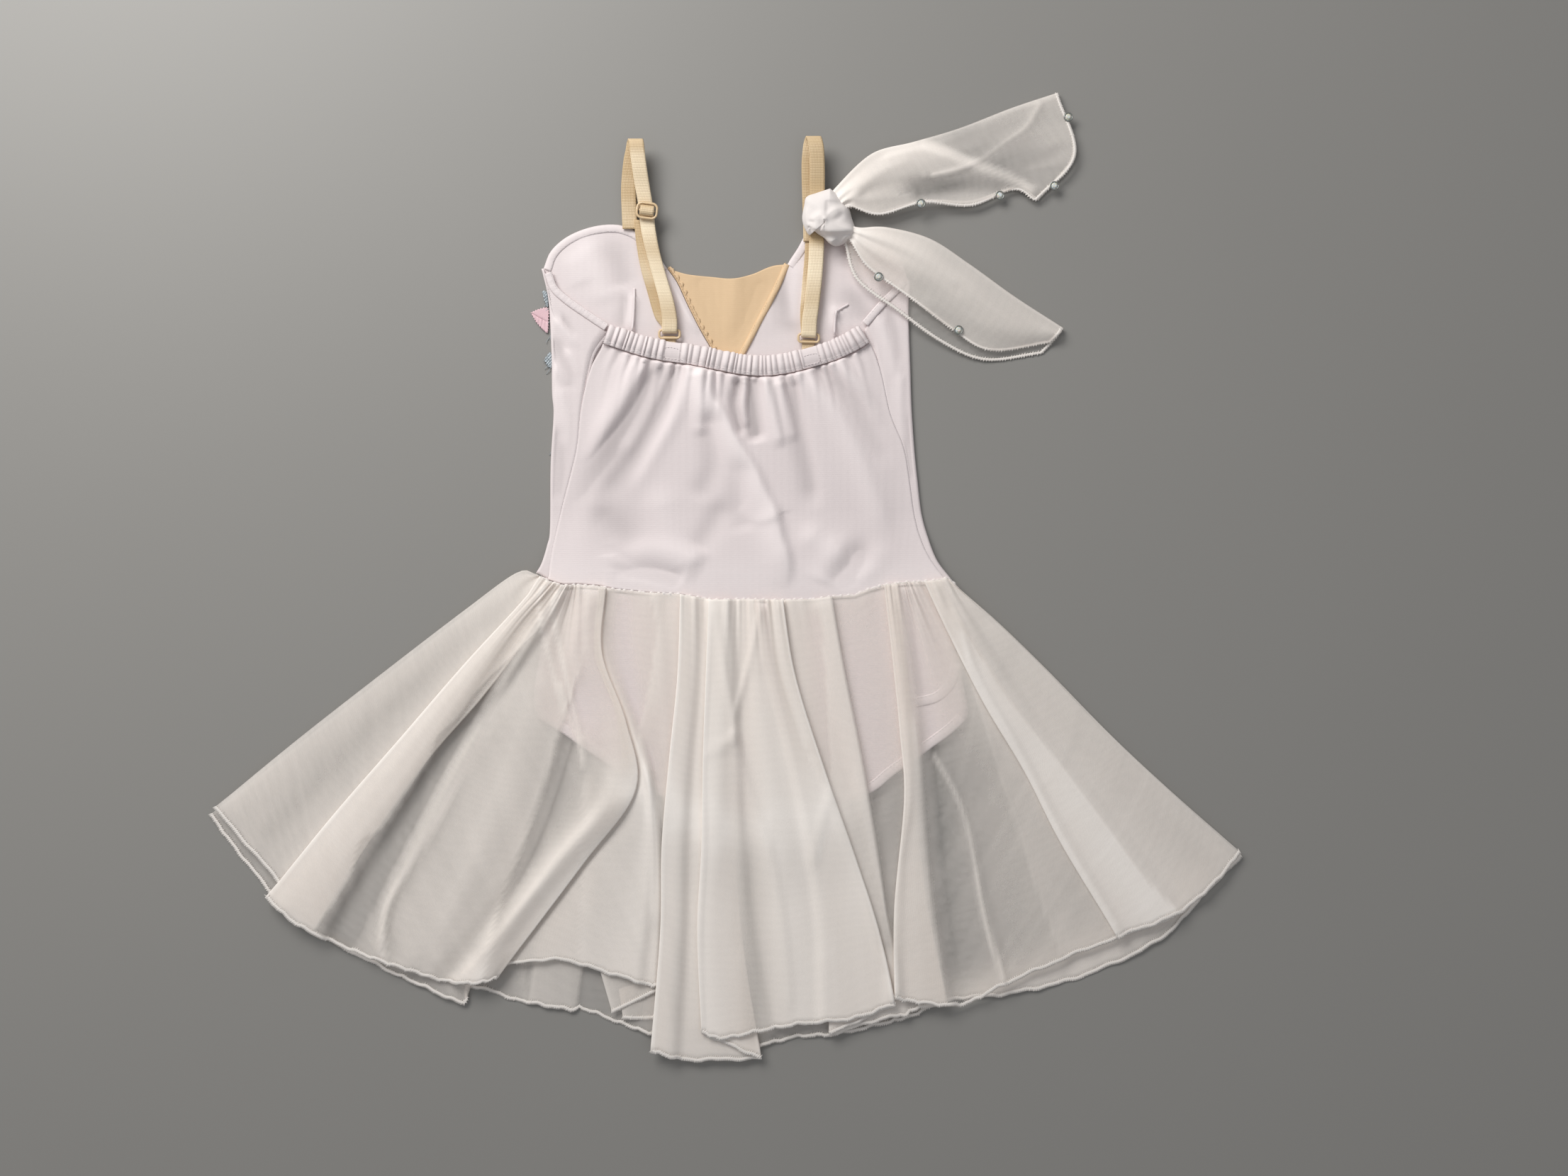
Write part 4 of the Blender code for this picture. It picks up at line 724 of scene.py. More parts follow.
@dataclass(frozen=True)
class GlossFinish(Finish):
    """Coated wire, crystal or silvered rim: smooth, with a faint unevenness."""

    metallic: float = 0.0
    coat: float = 0.0
    painted_glints: float = 0.0
    glint_hues: tuple = ((0.36, (0.82, 0.62, 0.68, 1)), (0.46, (0.92, 0.88, 0.48, 1)),
                   (0.54, (0.58, 0.72, 0.78, 1)), (0.64, (0.85, 0.88, 0.90, 1)))

    def shader(self, graph: Graph) -> bpy.types.NodeSocket:
        """A clean surface whose colour may shift from facet to facet into painted coloured glints."""
        cloud = graph.noise(graph.spot(), 700.0, 2.0)
        colour = self.mixed(graph, cloud)
        # patches of pink, yellow and blue painted into the colour as glints of the cut stones
        if self.painted_glints:
            ramp = graph.node("ShaderNodeValToRGB", None, Fac=cloud)
            elements = ramp.color_ramp.elements
            while len(elements) < len(self.glint_hues):
                elements.new(0.5)
            for element, (element_place, hue) in zip(elements, self.glint_hues):
                element.position, element.color = element_place, hue
            colour = graph.blend(self.painted_glints, colour, ramp.outputs["Color"])
        return graph.surface(colour, cloud * 0.1 + (self.roughness - 0.05), graph.bump(cloud, 0.15, 0.0002),
                             Metallic=self.metallic, Coat_Weight=self.coat)


KNIT = KnitFinish("knit_white", Slot.KNIT, (0.825, 0.742, 0.738), (0.775, 0.69, 0.69), 0.55)
KNIT_SEAM = KnitFinish("knit_binding", Slot.KNIT, (0.85, 0.77, 0.766), (0.80, 0.715, 0.715), 0.6)
SKIN = KnitFinish("knit_skin", Slot.SKIN, (0.80, 0.58, 0.36), (0.75, 0.53, 0.32), 0.55)
CHIFFON = ChiffonFinish("chiffon_white", Slot.CHIFFON, (0.99, 0.935, 0.885), (0.98, 0.917, 0.862), 0.7,
                        glow=0.05)
ELASTIC = RibbonFinish("elastic_skin", Slot.ELASTIC, (0.93, 0.78, 0.56), (0.60, 0.43, 0.235), 0.42)
COATED = GlossFinish("coated_wire", Slot.COATED, (0.72, 0.54, 0.33), (0.66, 0.48, 0.28), 0.32, coat=0.4)
THREAD = FuzzyFinish("thread_white", Slot.CHIFFON, (0.88, 0.83, 0.785), (0.77, 0.72, 0.675), 0.6)
WRAPPED = FuzzyFinish("chiffon_wrapped", Slot.CHIFFON, (0.83, 0.775, 0.75), (0.785, 0.73, 0.705), 0.75,
                      grain=1500.0)
KNIT_THREAD = FuzzyFinish("thread_leotard", Slot.KNIT, (0.80, 0.735, 0.73), (0.68, 0.62, 0.62), 0.6)
SKIN_THREAD = FuzzyFinish("thread_skin", Slot.SKIN, (0.74, 0.52, 0.31), (0.60, 0.40, 0.22), 0.6)
FELT = FuzzyFinish("felt_pink", Slot.FELT, (0.80, 0.58, 0.61), (0.72, 0.46, 0.51), 0.9, grain=1600.0)
LACE = FuzzyFinish("lace_silver", Slot.LACE, (0.46, 0.51, 0.54), (0.27, 0.31, 0.34), 0.45,
                   grain=1900.0, metallic=0.35)
CRYSTAL = GlossFinish("crystal", Slot.CHIFFON, (0.72, 0.72, 0.71), (0.46, 0.47, 0.50), 0.1,
                      coat=1.0, painted_glints=0.6)
RIM = GlossFinish("crystal_rim", Slot.CHIFFON, (0.34, 0.35, 0.33), (0.22, 0.23, 0.22), 0.3, metallic=0.7)


# ---------------------------------------------------------------- geometry
def place(points: np.ndarray) -> np.ndarray:
    """Metres in the frame from millimetres on the table, as seen from the eye."""
    pts = np.array(points, float)
    pts[..., :2] = EYE + (pts[..., :2] - EYE) * (1 - pts[..., 2:] / EYE_HEIGHT)
    return (pts - MIDDLE) / 1000


def ease(t: np.ndarray) -> np.ndarray:
    """Smooth step from 0 to 1."""
    t = np.clip(t, 0, 1)
    return t * t * (3 - 2 * t)


def spline(corners: Sequence[np.ndarray], t: np.ndarray) -> np.ndarray:
    """Points of a smooth curve between the second and the third of four corners."""
    a, b, c, d = corners
    return 0.5 * (2 * b + (c - a) * t + (2 * a - 5 * b + 4 * c - d) * t * t
                  + (3 * b - a - 3 * c + d) * t ** 3)


def padded(points: Spots | np.ndarray) -> np.ndarray:
    """A row of points, with one more straight on beyond each end."""
    pts = np.array(points, float)
    return np.vstack([2 * pts[0] - pts[1], pts, 2 * pts[-1] - pts[-2]])


def knots(points: np.ndarray) -> np.ndarray:
    """Each point's share of the length of a row of points."""
    steps = np.linalg.norm(np.diff(points[:, :2], axis=0), axis=1)
    return np.concatenate([[0], np.cumsum(steps)]) / steps.sum()


def along(points: Spots | np.ndarray, shares: np.ndarray) -> np.ndarray:
    """Points at the given shares of a smooth curve through a row of points.

    Args:
        points: The row, each with x, y and any further columns.
        shares: Shares of the row's length on the table, from 0 to 1.
    Returns:
        One point for each share.
    """
    wide = padded(points)
    marks = knots(wide[1:-1])
    at = np.clip(np.searchsorted(marks, shares, side="right") - 1, 0, len(marks) - 2)
    t = ((shares - marks[at]) / (marks[at + 1] - marks[at]))[:, None]
    return spline([wide[at + k] for k in range(4)], t)


def bend(points: Spots | np.ndarray, cuts: int) -> np.ndarray:
    """A smooth curve through a row of points, with the same number of steps between each two."""
    wide = padded(points)
    t = (np.arange(cuts) / cuts)[:, None]
    return np.vstack([spline(wide[k:k + 4], t) for k in range(len(wide) - 3)] + [wide[-2:-1]])


def ring(points: Spots, count: int) -> np.ndarray:
    """Points at even shares of a smooth closed curve."""
    return along(points + points[:1], np.linspace(0, 1, count + 1))[:-1]


def inset(points: Spots | np.ndarray, distance: float) -> np.ndarray:
    """A row of table points moved to its right-hand side by a distance."""
    pts = np.array(points, float)
    runs = np.gradient(pts[:, :2], axis=0)
    runs /= np.linalg.norm(runs, axis=1)[:, None]
    pts[:, :2] += np.stack([runs[:, 1], -runs[:, 0]], 1) * distance
    return pts


def raised(line: np.ndarray, z: float | np.ndarray) -> np.ndarray:
    """A table line at a height, or at one for each point."""
    return np.column_stack([line, np.broadcast_to(z, len(line))])


def between(first: np.ndarray, last: np.ndarray, share: np.ndarray) -> np.ndarray:
    """What goes from the first to the last as the share goes from 0 to 1."""
    return first * (1 - share) + last * share


def waist_y(x: np.ndarray) -> np.ndarray:
    """Where the waist seam lies at x."""
    return np.interp(x, *np.array(WAIST).T)


def front_z(y: np.ndarray | float) -> np.ndarray:
    """Middle of the leotard's front wall: on the table, then up over the front skirt's top."""
    return TABLE_Z + (BRIEF_FRONT_Z - TABLE_Z) * ease((58 - y) / 48)


def to_segment(x: np.ndarray, y: np.ndarray, start: np.ndarray, end: np.ndarray
               ) -> tuple[np.ndarray, np.ndarray, np.ndarray]:
    """Gives points' distance from a segment, their share along it and their side (plus: left)."""
    (ax, ay), (dx, dy) = start, end - start
    t = np.clip(((x - ax) * dx + (y - ay) * dy) / (dx * dx + dy * dy), 0, 1)
    return np.hypot(x - ax - dx * t, y - ay - dy * t), t, dx * (y - ay) - dy * (x - ax)


def brief_depth(x: np.ndarray, y: np.ndarray) -> np.ndarray:
    """1 over the brief and its close surroundings, falling to 0 away from it."""
    pts = np.array(BRIEF_OUTLINE + WAIST_CORNERS)
    near = np.full(x.shape, np.inf)
    inside = np.zeros(x.shape, bool)
    for start, end in zip(pts, np.roll(pts, -1, axis=0)):
        near = np.minimum(near, to_segment(x, y, start, end)[0])
        (ax, ay), (bx, by) = start, end
        if by != ay:
            inside ^= ((ay > y) != (by > y)) & (x < (bx - ax) * (y - ay) / (by - ay) + ax)
    return np.where(inside, 1.0, ease((BRIEF_FALL - near) / (BRIEF_FALL - BRIEF_CLEAR)))


def relief(flat: np.ndarray, folds: Sequence[Crease], fade: float = 0.0) -> np.ndarray:
    """Height of a table of creases at points.

    Args:
        flat: The points, x and y in their last axis.
        folds: The creases.
        fade: Share of each crease over which its end dies away.
    Returns:
        The summed height; minus is a hollow.
    """
    x, y = flat[..., 0], flat[..., 1]
    total = np.zeros(x.shape)
    for fold in folds:
        line = bend(fold.points, 5) if len(fold.points) > 2 else np.array(fold.points)
        marks = knots(line)
        best, share, side = np.full(x.shape, np.inf), np.zeros(x.shape), np.ones(x.shape)
        for k in range(len(line) - 1):
            gap, t, left = to_segment(x, y, line[k], line[k + 1])
            closer = gap < best
            best = np.where(closer, gap, best)
            share = np.where(closer, between(marks[k], marks[k + 1], t), share)
            side = np.where(closer, left, side)
        half = np.where(side > 0, fold.left, fold.right)
        life = ease((1 - share) / fade) if fade else 1.0
        total += life * between(fold.high, fold.low, share) * np.exp(-(best / half) ** 2)
    return total


def outward(grid: np.ndarray) -> np.ndarray:
    """Unit steps on the table, out over the last column of a grid."""
    out = grid[:, -1, :2] - grid[:, -2, :2]
    return out / np.maximum(1e-6, np.linalg.norm(out, axis=1))[:, None]


def rounded(start: np.ndarray, end: np.ndarray, out: np.ndarray, angles: Sequence[float]) -> np.ndarray:
    """Columns that round a turn of the cloth.

    Args:
        start: The edge that the turn starts from.
        end: The edge that it ends at.
        out: How far it bulges, in x and y.
        angles: A column for each, between 0 and pi.
    Returns:
        The columns.
    """
    columns = []
    for angle in angles:
        column = start + (end - start) * (1 - math.cos(angle)) / 2
        column[:, :2] += out * math.sin(angle)
        columns.append(column)
    return np.stack(columns, axis=1)


def running(grid: np.ndarray, axis: int) -> np.ndarray:
    """Lengths run along one axis of a grid of points."""
    steps = np.linalg.norm(np.diff(grid, axis=axis), axis=2)
    start = steps[:, :1] if axis else steps[:1]
    return np.concatenate([0 * start, np.cumsum(steps, axis=axis)], axis=axis)


def chain_length(points: np.ndarray) -> float:
    """Length in metres of a row of table points."""
    return float(running(points[None], 1)[0, -1]) / 1000


def put(name: str, data: bpy.types.ID) -> bpy.types.Object:
    """An object in the scene with the given data."""
    obj = bpy.data.objects.new(name, data)
    bpy.context.scene.collection.objects.link(obj)
    return obj


def mesh_object(name: str, verts: np.ndarray, faces: Sequence[Sequence[int]], smooth: bool = True
                ) -> bpy.types.Object:
    """A mesh object in the scene."""
    mesh = bpy.data.meshes.new(name)
    mesh.from_pydata(np.asarray(verts, float).tolist(), [], faces)
    mesh.validate()
    mesh.polygons.foreach_set("use_smooth", [smooth] * len(mesh.polygons))
    return put(name, mesh)


def grid_faces(rows: int, columns: int, round_columns: bool = False, round_rows: bool = False
               ) -> list[list[int]]:
    """Quads over a grid, joined round its columns or its rows if asked."""
    r, c = np.indices((rows - (not round_rows), columns - (not round_columns)))
    corners = [(r + i) % rows * columns + (c + j) % columns for i, j in ((0, 0), (0, 1), (1, 1), (1, 0))]
    return np.stack(corners, -1).reshape(-1, 4).tolist()


def mark(obj: bpy.types.Object, label: str, values: np.ndarray) -> None:
    """Keeps a number for each point of a piece."""
    obj.data.attributes.new(label, "FLOAT", "POINT").data.foreach_set("value", values.ravel())


def cloth(name: str, grid: np.ndarray, wall: float, **marks: np.ndarray) -> bpy.types.Object:
    """A thin closed wall of cloth about a grid of middle points.

    Args:
        name: The piece's name.
        grid: Rows by columns by x, y, z in table millimetres; rows run down the cloth.
        wall: Thickness in millimetres.
        **marks: Numbers for each grid point that its finish reads, kept as attributes.
    Returns:
        The piece, with its cloth lengths in the map "cloth" and a live Solidify wall.
    """
    metres = place(grid)
    faces = grid_faces(*grid.shape[:2])
    if np.cross(metres[0, 1] - metres[0, 0], metres[1, 1] - metres[0, 0])[2] < 0:
        faces = [face[::-1] for face in faces]
    obj = mesh_object(name, metres.reshape(-1, 3), faces)
    across = running(metres, 1)
    across -= across[:, across.shape[1] // 2][:, None]
    pairs = np.dstack([across, running(metres, 0)]).reshape(-1, 2)
    corners = np.zeros(len(obj.data.loops), int)
    obj.data.loops.foreach_get("vertex_index", corners)
    obj.data.uv_layers.new(name="cloth").data.foreach_set("uv", pairs[corners].ravel())
    for label, values in marks.items():
        mark(obj, label, values)
    thick = obj.modifiers.new("wall", "SOLIDIFY")
    thick.thickness, thick.offset = wall / 1000, 0
    return obj


def sections(*rows: tuple) -> np.ndarray:
    """Sections of a tube, from rows of distance across and height that may vary along its path."""
    values = np.broadcast_arrays(*(value for row in rows for value in row))
    return np.stack(values, -1).reshape(-1, len(rows), 2)


def wire(radius: float) -> np.ndarray:
    """A round section."""
    angles = np.linspace(0, math.tau, 13)[:-1]
    return np.stack([radius * np.cos(angles), radius * np.sin(angles)], 1)


def tube(name: str, path: np.ndarray, section: np.ndarray, closed: bool = False) -> bpy.types.Object:
    """A closed body along a table path.

    Args:
        name: The piece's name.
        path: Points x, y, z in table millimetres.
        section: Rows of distance to the left and height, for all steps or for each.
        closed: True for a loop that ends where it starts.
    Returns:
        The body.
    """
    runs = np.roll(path, -1, axis=0) - np.roll(path, 1, axis=0) if closed else np.gradient(path, axis=0)
    runs = runs[:, :2] / np.maximum(1e-9, np.linalg.norm(runs[:, :2], axis=1))[:, None]
    count, sides = len(path), section.shape[-2]
    offset, height = np.broadcast_to(section, (count, sides, 2)).transpose(2, 0, 1)
    (x, y, z), (run_x, run_y) = path.T[:, :, None], runs.T[:, :, None]
    verts = np.dstack([x - run_y * offset, y + run_x * offset, z + height])
    faces = grid_faces(count, sides, round_columns=True, round_rows=closed)
    if not closed:
        faces += [range(sides - 1, -1, -1), range((count - 1) * sides, count * sides)]
    obj = mesh_object(name, place(verts.reshape(-1, 3)), faces)
    turn_outward(obj)
    return obj


def turn_outward(obj: bpy.types.Object) -> None:
    """Turns the faces of a closed mesh outwards, by the sign of its volume."""
    mesh = obj.data
    mesh.calc_loop_triangles()
    corners = np.array([t.vertices[:] for t in mesh.loop_triangles])
    points = np.array([v.co[:] for v in mesh.vertices])
    a, b, c = (points[corners[:, k]] for k in range(3))
    if (np.cross(a, b) * c).sum() < 0:
        mesh.flip_normals()


def settle(piece: bpy.types.Object, finish: Finish, *nodes: str) -> bpy.types.Object:
    """Dresses a piece, rides it on the body and hides the CAD nodes it stands for."""
    if not piece.data.materials:
        piece.data.materials.append(finish.material())
    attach(piece, "root")
    if nodes:
        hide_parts(*nodes)
    LOG.info("%s: %d faces", piece.name, len(piece.data.polygons))
    return piece


# ---------------------------------------------------------------- what repeats along a path
class Trim:
    """A Geometry Nodes tree for stitches or set stones; what it grows is made a plain mesh."""

    def __init__(self, name: str, *sizes: str) -> None:
        """Starts a tree with the named sizes as its inputs, and its finish."""
        self.tree = bpy.data.node_groups.new(name, "GeometryNodeTree")
        face = self.tree.interface
        face.new_socket("Geometry", in_out="INPUT", socket_type="NodeSocketGeometry")
        kinds = {**dict.fromkeys(sizes, "NodeSocketFloat"), "Finish": "NodeSocketMaterial"}
        self.keys = {label: face.new_socket(label, in_out="INPUT", socket_type=kind).identifier
                     for label, kind in kinds.items()}
        face.new_socket("Geometry", in_out="OUTPUT", socket_type="NodeSocketGeometry")
        self.graph = Graph(self.tree)
        self.start = self.graph.node("NodeGroupInput")

    def given(self, label: str) -> Value:
        """One of the tree's inputs."""
        return Value(self.graph, self.start.outputs[label])

    def evenly(self, step: str) -> Value:
        """The line as a curve whose points are one of the sizes apart."""
        line = self.graph.value("GeometryNodeMeshToCurve", None, Mesh=self.given("Geometry"))
        return self.graph.value("GeometryNodeResampleCurve", {"mode": "LENGTH"}, Curve=line,
                                Length=self.given(step))

    def threads(self, curve: Value, rings: int, size: Value, lean: object = (0, 0, 0), **more: object
                ) -> Value:
        """Short round threads at the points of a curve, turned with it."""
        g = self.graph
        ball = g.value("GeometryNodeMeshUVSphere", None, Segments=6, Rings=rings, Radius=0.5)
        shaped = g.value("GeometryNodeTransform", None, Geometry=ball, Scale=size)
        leaned = g.value("GeometryNodeTransform", None, Geometry=shaped, Rotation=lean)
        points = g.node("GeometryNodeCurveToPoints", {"mode": "EVALUATED"}, Curve=curve)
        return g.value("GeometryNodeInstanceOnPoints", None, Points=points.outputs["Points"],
                       Instance=leaned, Rotation=points.outputs["Rotation"], **more)

    def circle(self, radius: object, resolution: int) -> Value:
        """A round curve."""
        return self.graph.value("GeometryNodeCurvePrimitiveCircle", {"mode": "RADIUS"}, Radius=radius,
                                Resolution=resolution)

    def end(self, geometry: object, smooth: bool = True) -> "Trim":
        """Ends the tree in Realize Instances, its shading and its material."""
        g = self.graph
        plain = g.value("GeometryNodeRealizeInstances", None, Geometry=geometry)
        shaded = g.value("GeometryNodeSetShadeSmooth", None, Geometry=plain, Shade_Smooth=smooth)
        dressed = g.value("GeometryNodeSetMaterial", None, Geometry=shaded, Material=self.given("Finish"))
        g.node("NodeGroupOutput", None, i0=dressed)
        return self

    def grow(self, name: str, points: np.ndarray, finish: Finish, joined: bool = True, **sizes: float
             ) -> bpy.types.Object:
        """Runs the tree over a line or over single points.

        Args:
            name: The new piece's name.
            points: Table points in millimetres.
            finish: The piece's finish.
            joined: True for a line.
            **sizes: The tree's sizes, lengths in metres.
        Returns:
            The settled piece, a plain mesh.
        """
        edges = [(k, k + 1) for k in range(len(points) - 1)] if joined else []
        mesh = bpy.data.meshes.new(name + "_line")
        mesh.from_pydata(place(points).tolist(), edges, [])
        line = put(name + "_line", mesh)
        grown = line.modifiers.new("grow", "NODES")
        grown.node_group = self.tree
        for label, value in {**sizes, "Finish": finish.material()}.items():
            grown[self.keys[label]] = value
        ready = line.evaluated_get(bpy.context.evaluated_depsgraph_get())
        made = bpy.data.meshes.new_from_object(ready)
        bpy.data.objects.remove(line, do_unlink=True)
        return settle(put(name, made), finish)


def serged_tree() -> Trim:
    """An overlocked edge: a flat band of threads with slanted loops wound over it."""
    trim = Trim("serged edge", "Width", "Height", "Spacing", "Slant")
    g, width, height, spacing = trim.graph, *(trim.given(size) for size in ("Width", "Height", "Spacing"))
    flat = g.value("GeometryNodeSetCurveNormal", {"mode": "Z_UP"}, Curve=trim.evenly("Spacing"))
    profile = g.value("GeometryNodeTransform", None, Geometry=trim.circle(0.5, 8),
                      Scale=g.vector(width * 0.46, height * 0.8, 1.0))
    band = g.value("GeometryNodeCurveToMesh", None, Curve=flat, Profile_Curve=profile, Fill_Caps=True)
    wander = g.value("FunctionNodeRandomValue", {"data_type": "FLOAT"}, 1, i2=0.8, i3=1.18, i8=7)
    loops = trim.threads(flat, 5, g.vector(width, height, spacing * 0.42),
                         g.vector(0.0, trim.given("Slant"), 0.0), Scale=wander)
    joined = g.node("GeometryNodeJoinGeometry", None, i0=loops)
    g.tree.links.new(band.socket, joined.inputs[0])
    return trim.end(joined.outputs[0])


def stitch_tree() -> Trim:
    """A row of machine stitches: short rounded threads, end to end along a line."""
    trim = Trim("stitch row", "Length", "Thread")
    size = trim.graph.vector(trim.given("Thread"), trim.given("Thread"), trim.given("Length") * 0.8)
    return trim.end(trim.threads(trim.evenly("Length"), 4, size))


def stone_tree(rims: bool) -> Trim:
    """Cut crystals on points, or the round metal cups that hold them."""
    trim = Trim("crystal rims" if rims else "crystals", "Radius")
    g, radius = trim.graph, trim.given("Radius")
    if rims:
        shape = g.value("GeometryNodeCurveToMesh", None, Curve=trim.circle(radius, 20),
                        Profile_Curve=trim.circle(radius * 0.16, 8))
    else:
        shape = g.value("GeometryNodeMeshCone", None, Vertices=8, Radius_Top=radius * 0.5,
                        Radius_Bottom=radius, Depth=radius * 0.55)
    on_points = g.value("GeometryNodeInstanceOnPoints", None, Points=trim.given("Geometry"), Instance=shape)
    return trim.end(on_points, smooth=rims)


# ---------------------------------------------------------------- skirt
@dataclass
class FoldedSheet:
    """Cloth that runs through fold lines, each from the top edge to the hem."""

    lines: list[FoldLine]
    base: Callable[[np.ndarray, np.ndarray], np.ndarray]
    rows: int = 66
    column: float = 2.7
    cuts: int = 16
    least_step: float = 0.06     # added between fine columns, so that none fall together at the hem

    def shares(self) -> np.ndarray:
        """Places of the rows down the fold lines, closer together at the gathered edge."""
        return np.linspace(0, 1, self.rows) ** 1.25

    def runs(self) -> list[tuple[int, int, int]]:
        """Runs between turns, as first line, last line and rank in the stack."""
        runs, start, rank = [], 0, 0
        for i, line in enumerate(self.lines):
            if line.turn is not Turn.SOFT:
                runs.append((start, i, rank))
                rank += 1 if line.turn is Turn.OVER else -1
                start = i
        return runs + [(start, len(self.lines) - 1, rank)]

    def over(self, x: np.ndarray, span: tuple) -> np.ndarray:
        """1 over a run's width and its turned edge, easing to 0 beside it."""
        out = np.maximum(span[0][:, None] - x, x - span[1][:, None])
        return ease((EDGE_CLEAR + EDGE_FALL - out) / EDGE_FALL)

    def grid(self) -> tuple[np.ndarray, np.ndarray]:
        """Middle points of the wall, rows from the top edge to the hem.

        Returns:
            The grid, and each column's place along the fold lines.
        """
        tracks = np.stack([along(line.points, self.shares()) for line in self.lines])
        rises = np.array([line.rise for line in self.lines])
        runs = self.runs()
        spans = [(tracks[a:b + 1, :, 0].min(0), tracks[a:b + 1, :, 0].max(0), rank)
                 for a, b, rank in runs]
        blocks, marks = [], []
        for first, last, rank in runs:
            part = tracks[first:last + 1]
            packed = np.hstack([part[:, :, 0], part[:, :, 1],
                                np.repeat(rises[first:last + 1, None], self.rows, 1)])
            fine, where = self.spread(bend(packed, self.cuts))
            x, y, rise = (column.T for column in np.hsplit(fine, 3))
            lift = CHIFFON_LIFT * sum([self.over(x, s) for s in spans if s[2] < rank], np.zeros(x.shape))
            above = [self.over(x, s) for s in spans if s[2] > rank]
            free = 1 - np.max(above, axis=0) if above else 1.0
            block = np.dstack([x, y, self.base(x, y) + lift + np.maximum(rise, 0) * free])
            if blocks:
                start, end = blocks[-1][:, -1], block[:, 0]
                bulge = outward(blocks[-1]) * np.abs(end - start)[:, 2:] / 2
                turned = rounded(start, end, bulge, np.radians((45, 90, 135)))
                blocks.append(turned)
                marks.append(np.full(turned.shape[1], float(first)))
            blocks.append(block)
            marks.append(first + where * (last - first))
        return np.concatenate(blocks, axis=1), np.concatenate(marks)

    def spread(self, fine: np.ndarray) -> tuple[np.ndarray, np.ndarray]:
        """Resamples a run's columns to even steps at the hem; also gives their places, 0 to 1."""
        step = np.hypot(np.diff(fine[:, self.rows - 1]), np.diff(fine[:, 2 * self.rows - 1]))
        reach = np.concatenate([[0], np.cumsum(step + self.least_step)])
        even = np.linspace(0, reach[-1], max(5, int(reach[-1] / self.column)))
        count = np.arange(len(fine))
        where = np.interp(even, reach, count)
        return np.stack([np.interp(where, count, column) for column in fine.T], 1), where / count[-1]


@dataclass(frozen=True)
class SkirtHalf:
    """What sets one half of the skirt apart.

    Its node, fold lines, where its chiffon stops more or less light, its creases, the middle of
    its lowest layer, how far its top edge lies above the waist seam, how strongly it ripples (0 to
    1), the size of its cut in metres and what it rests on.
    """

    node: str
    lines: list[FoldLine]
    marks: list[Crease]
    folds: list[Crease]
    base: Callable[[np.ndarray, np.ndarray], np.ndarray]
    above: float
    life: float
    cut: tuple[float, float]
    under: tuple[str, ...]


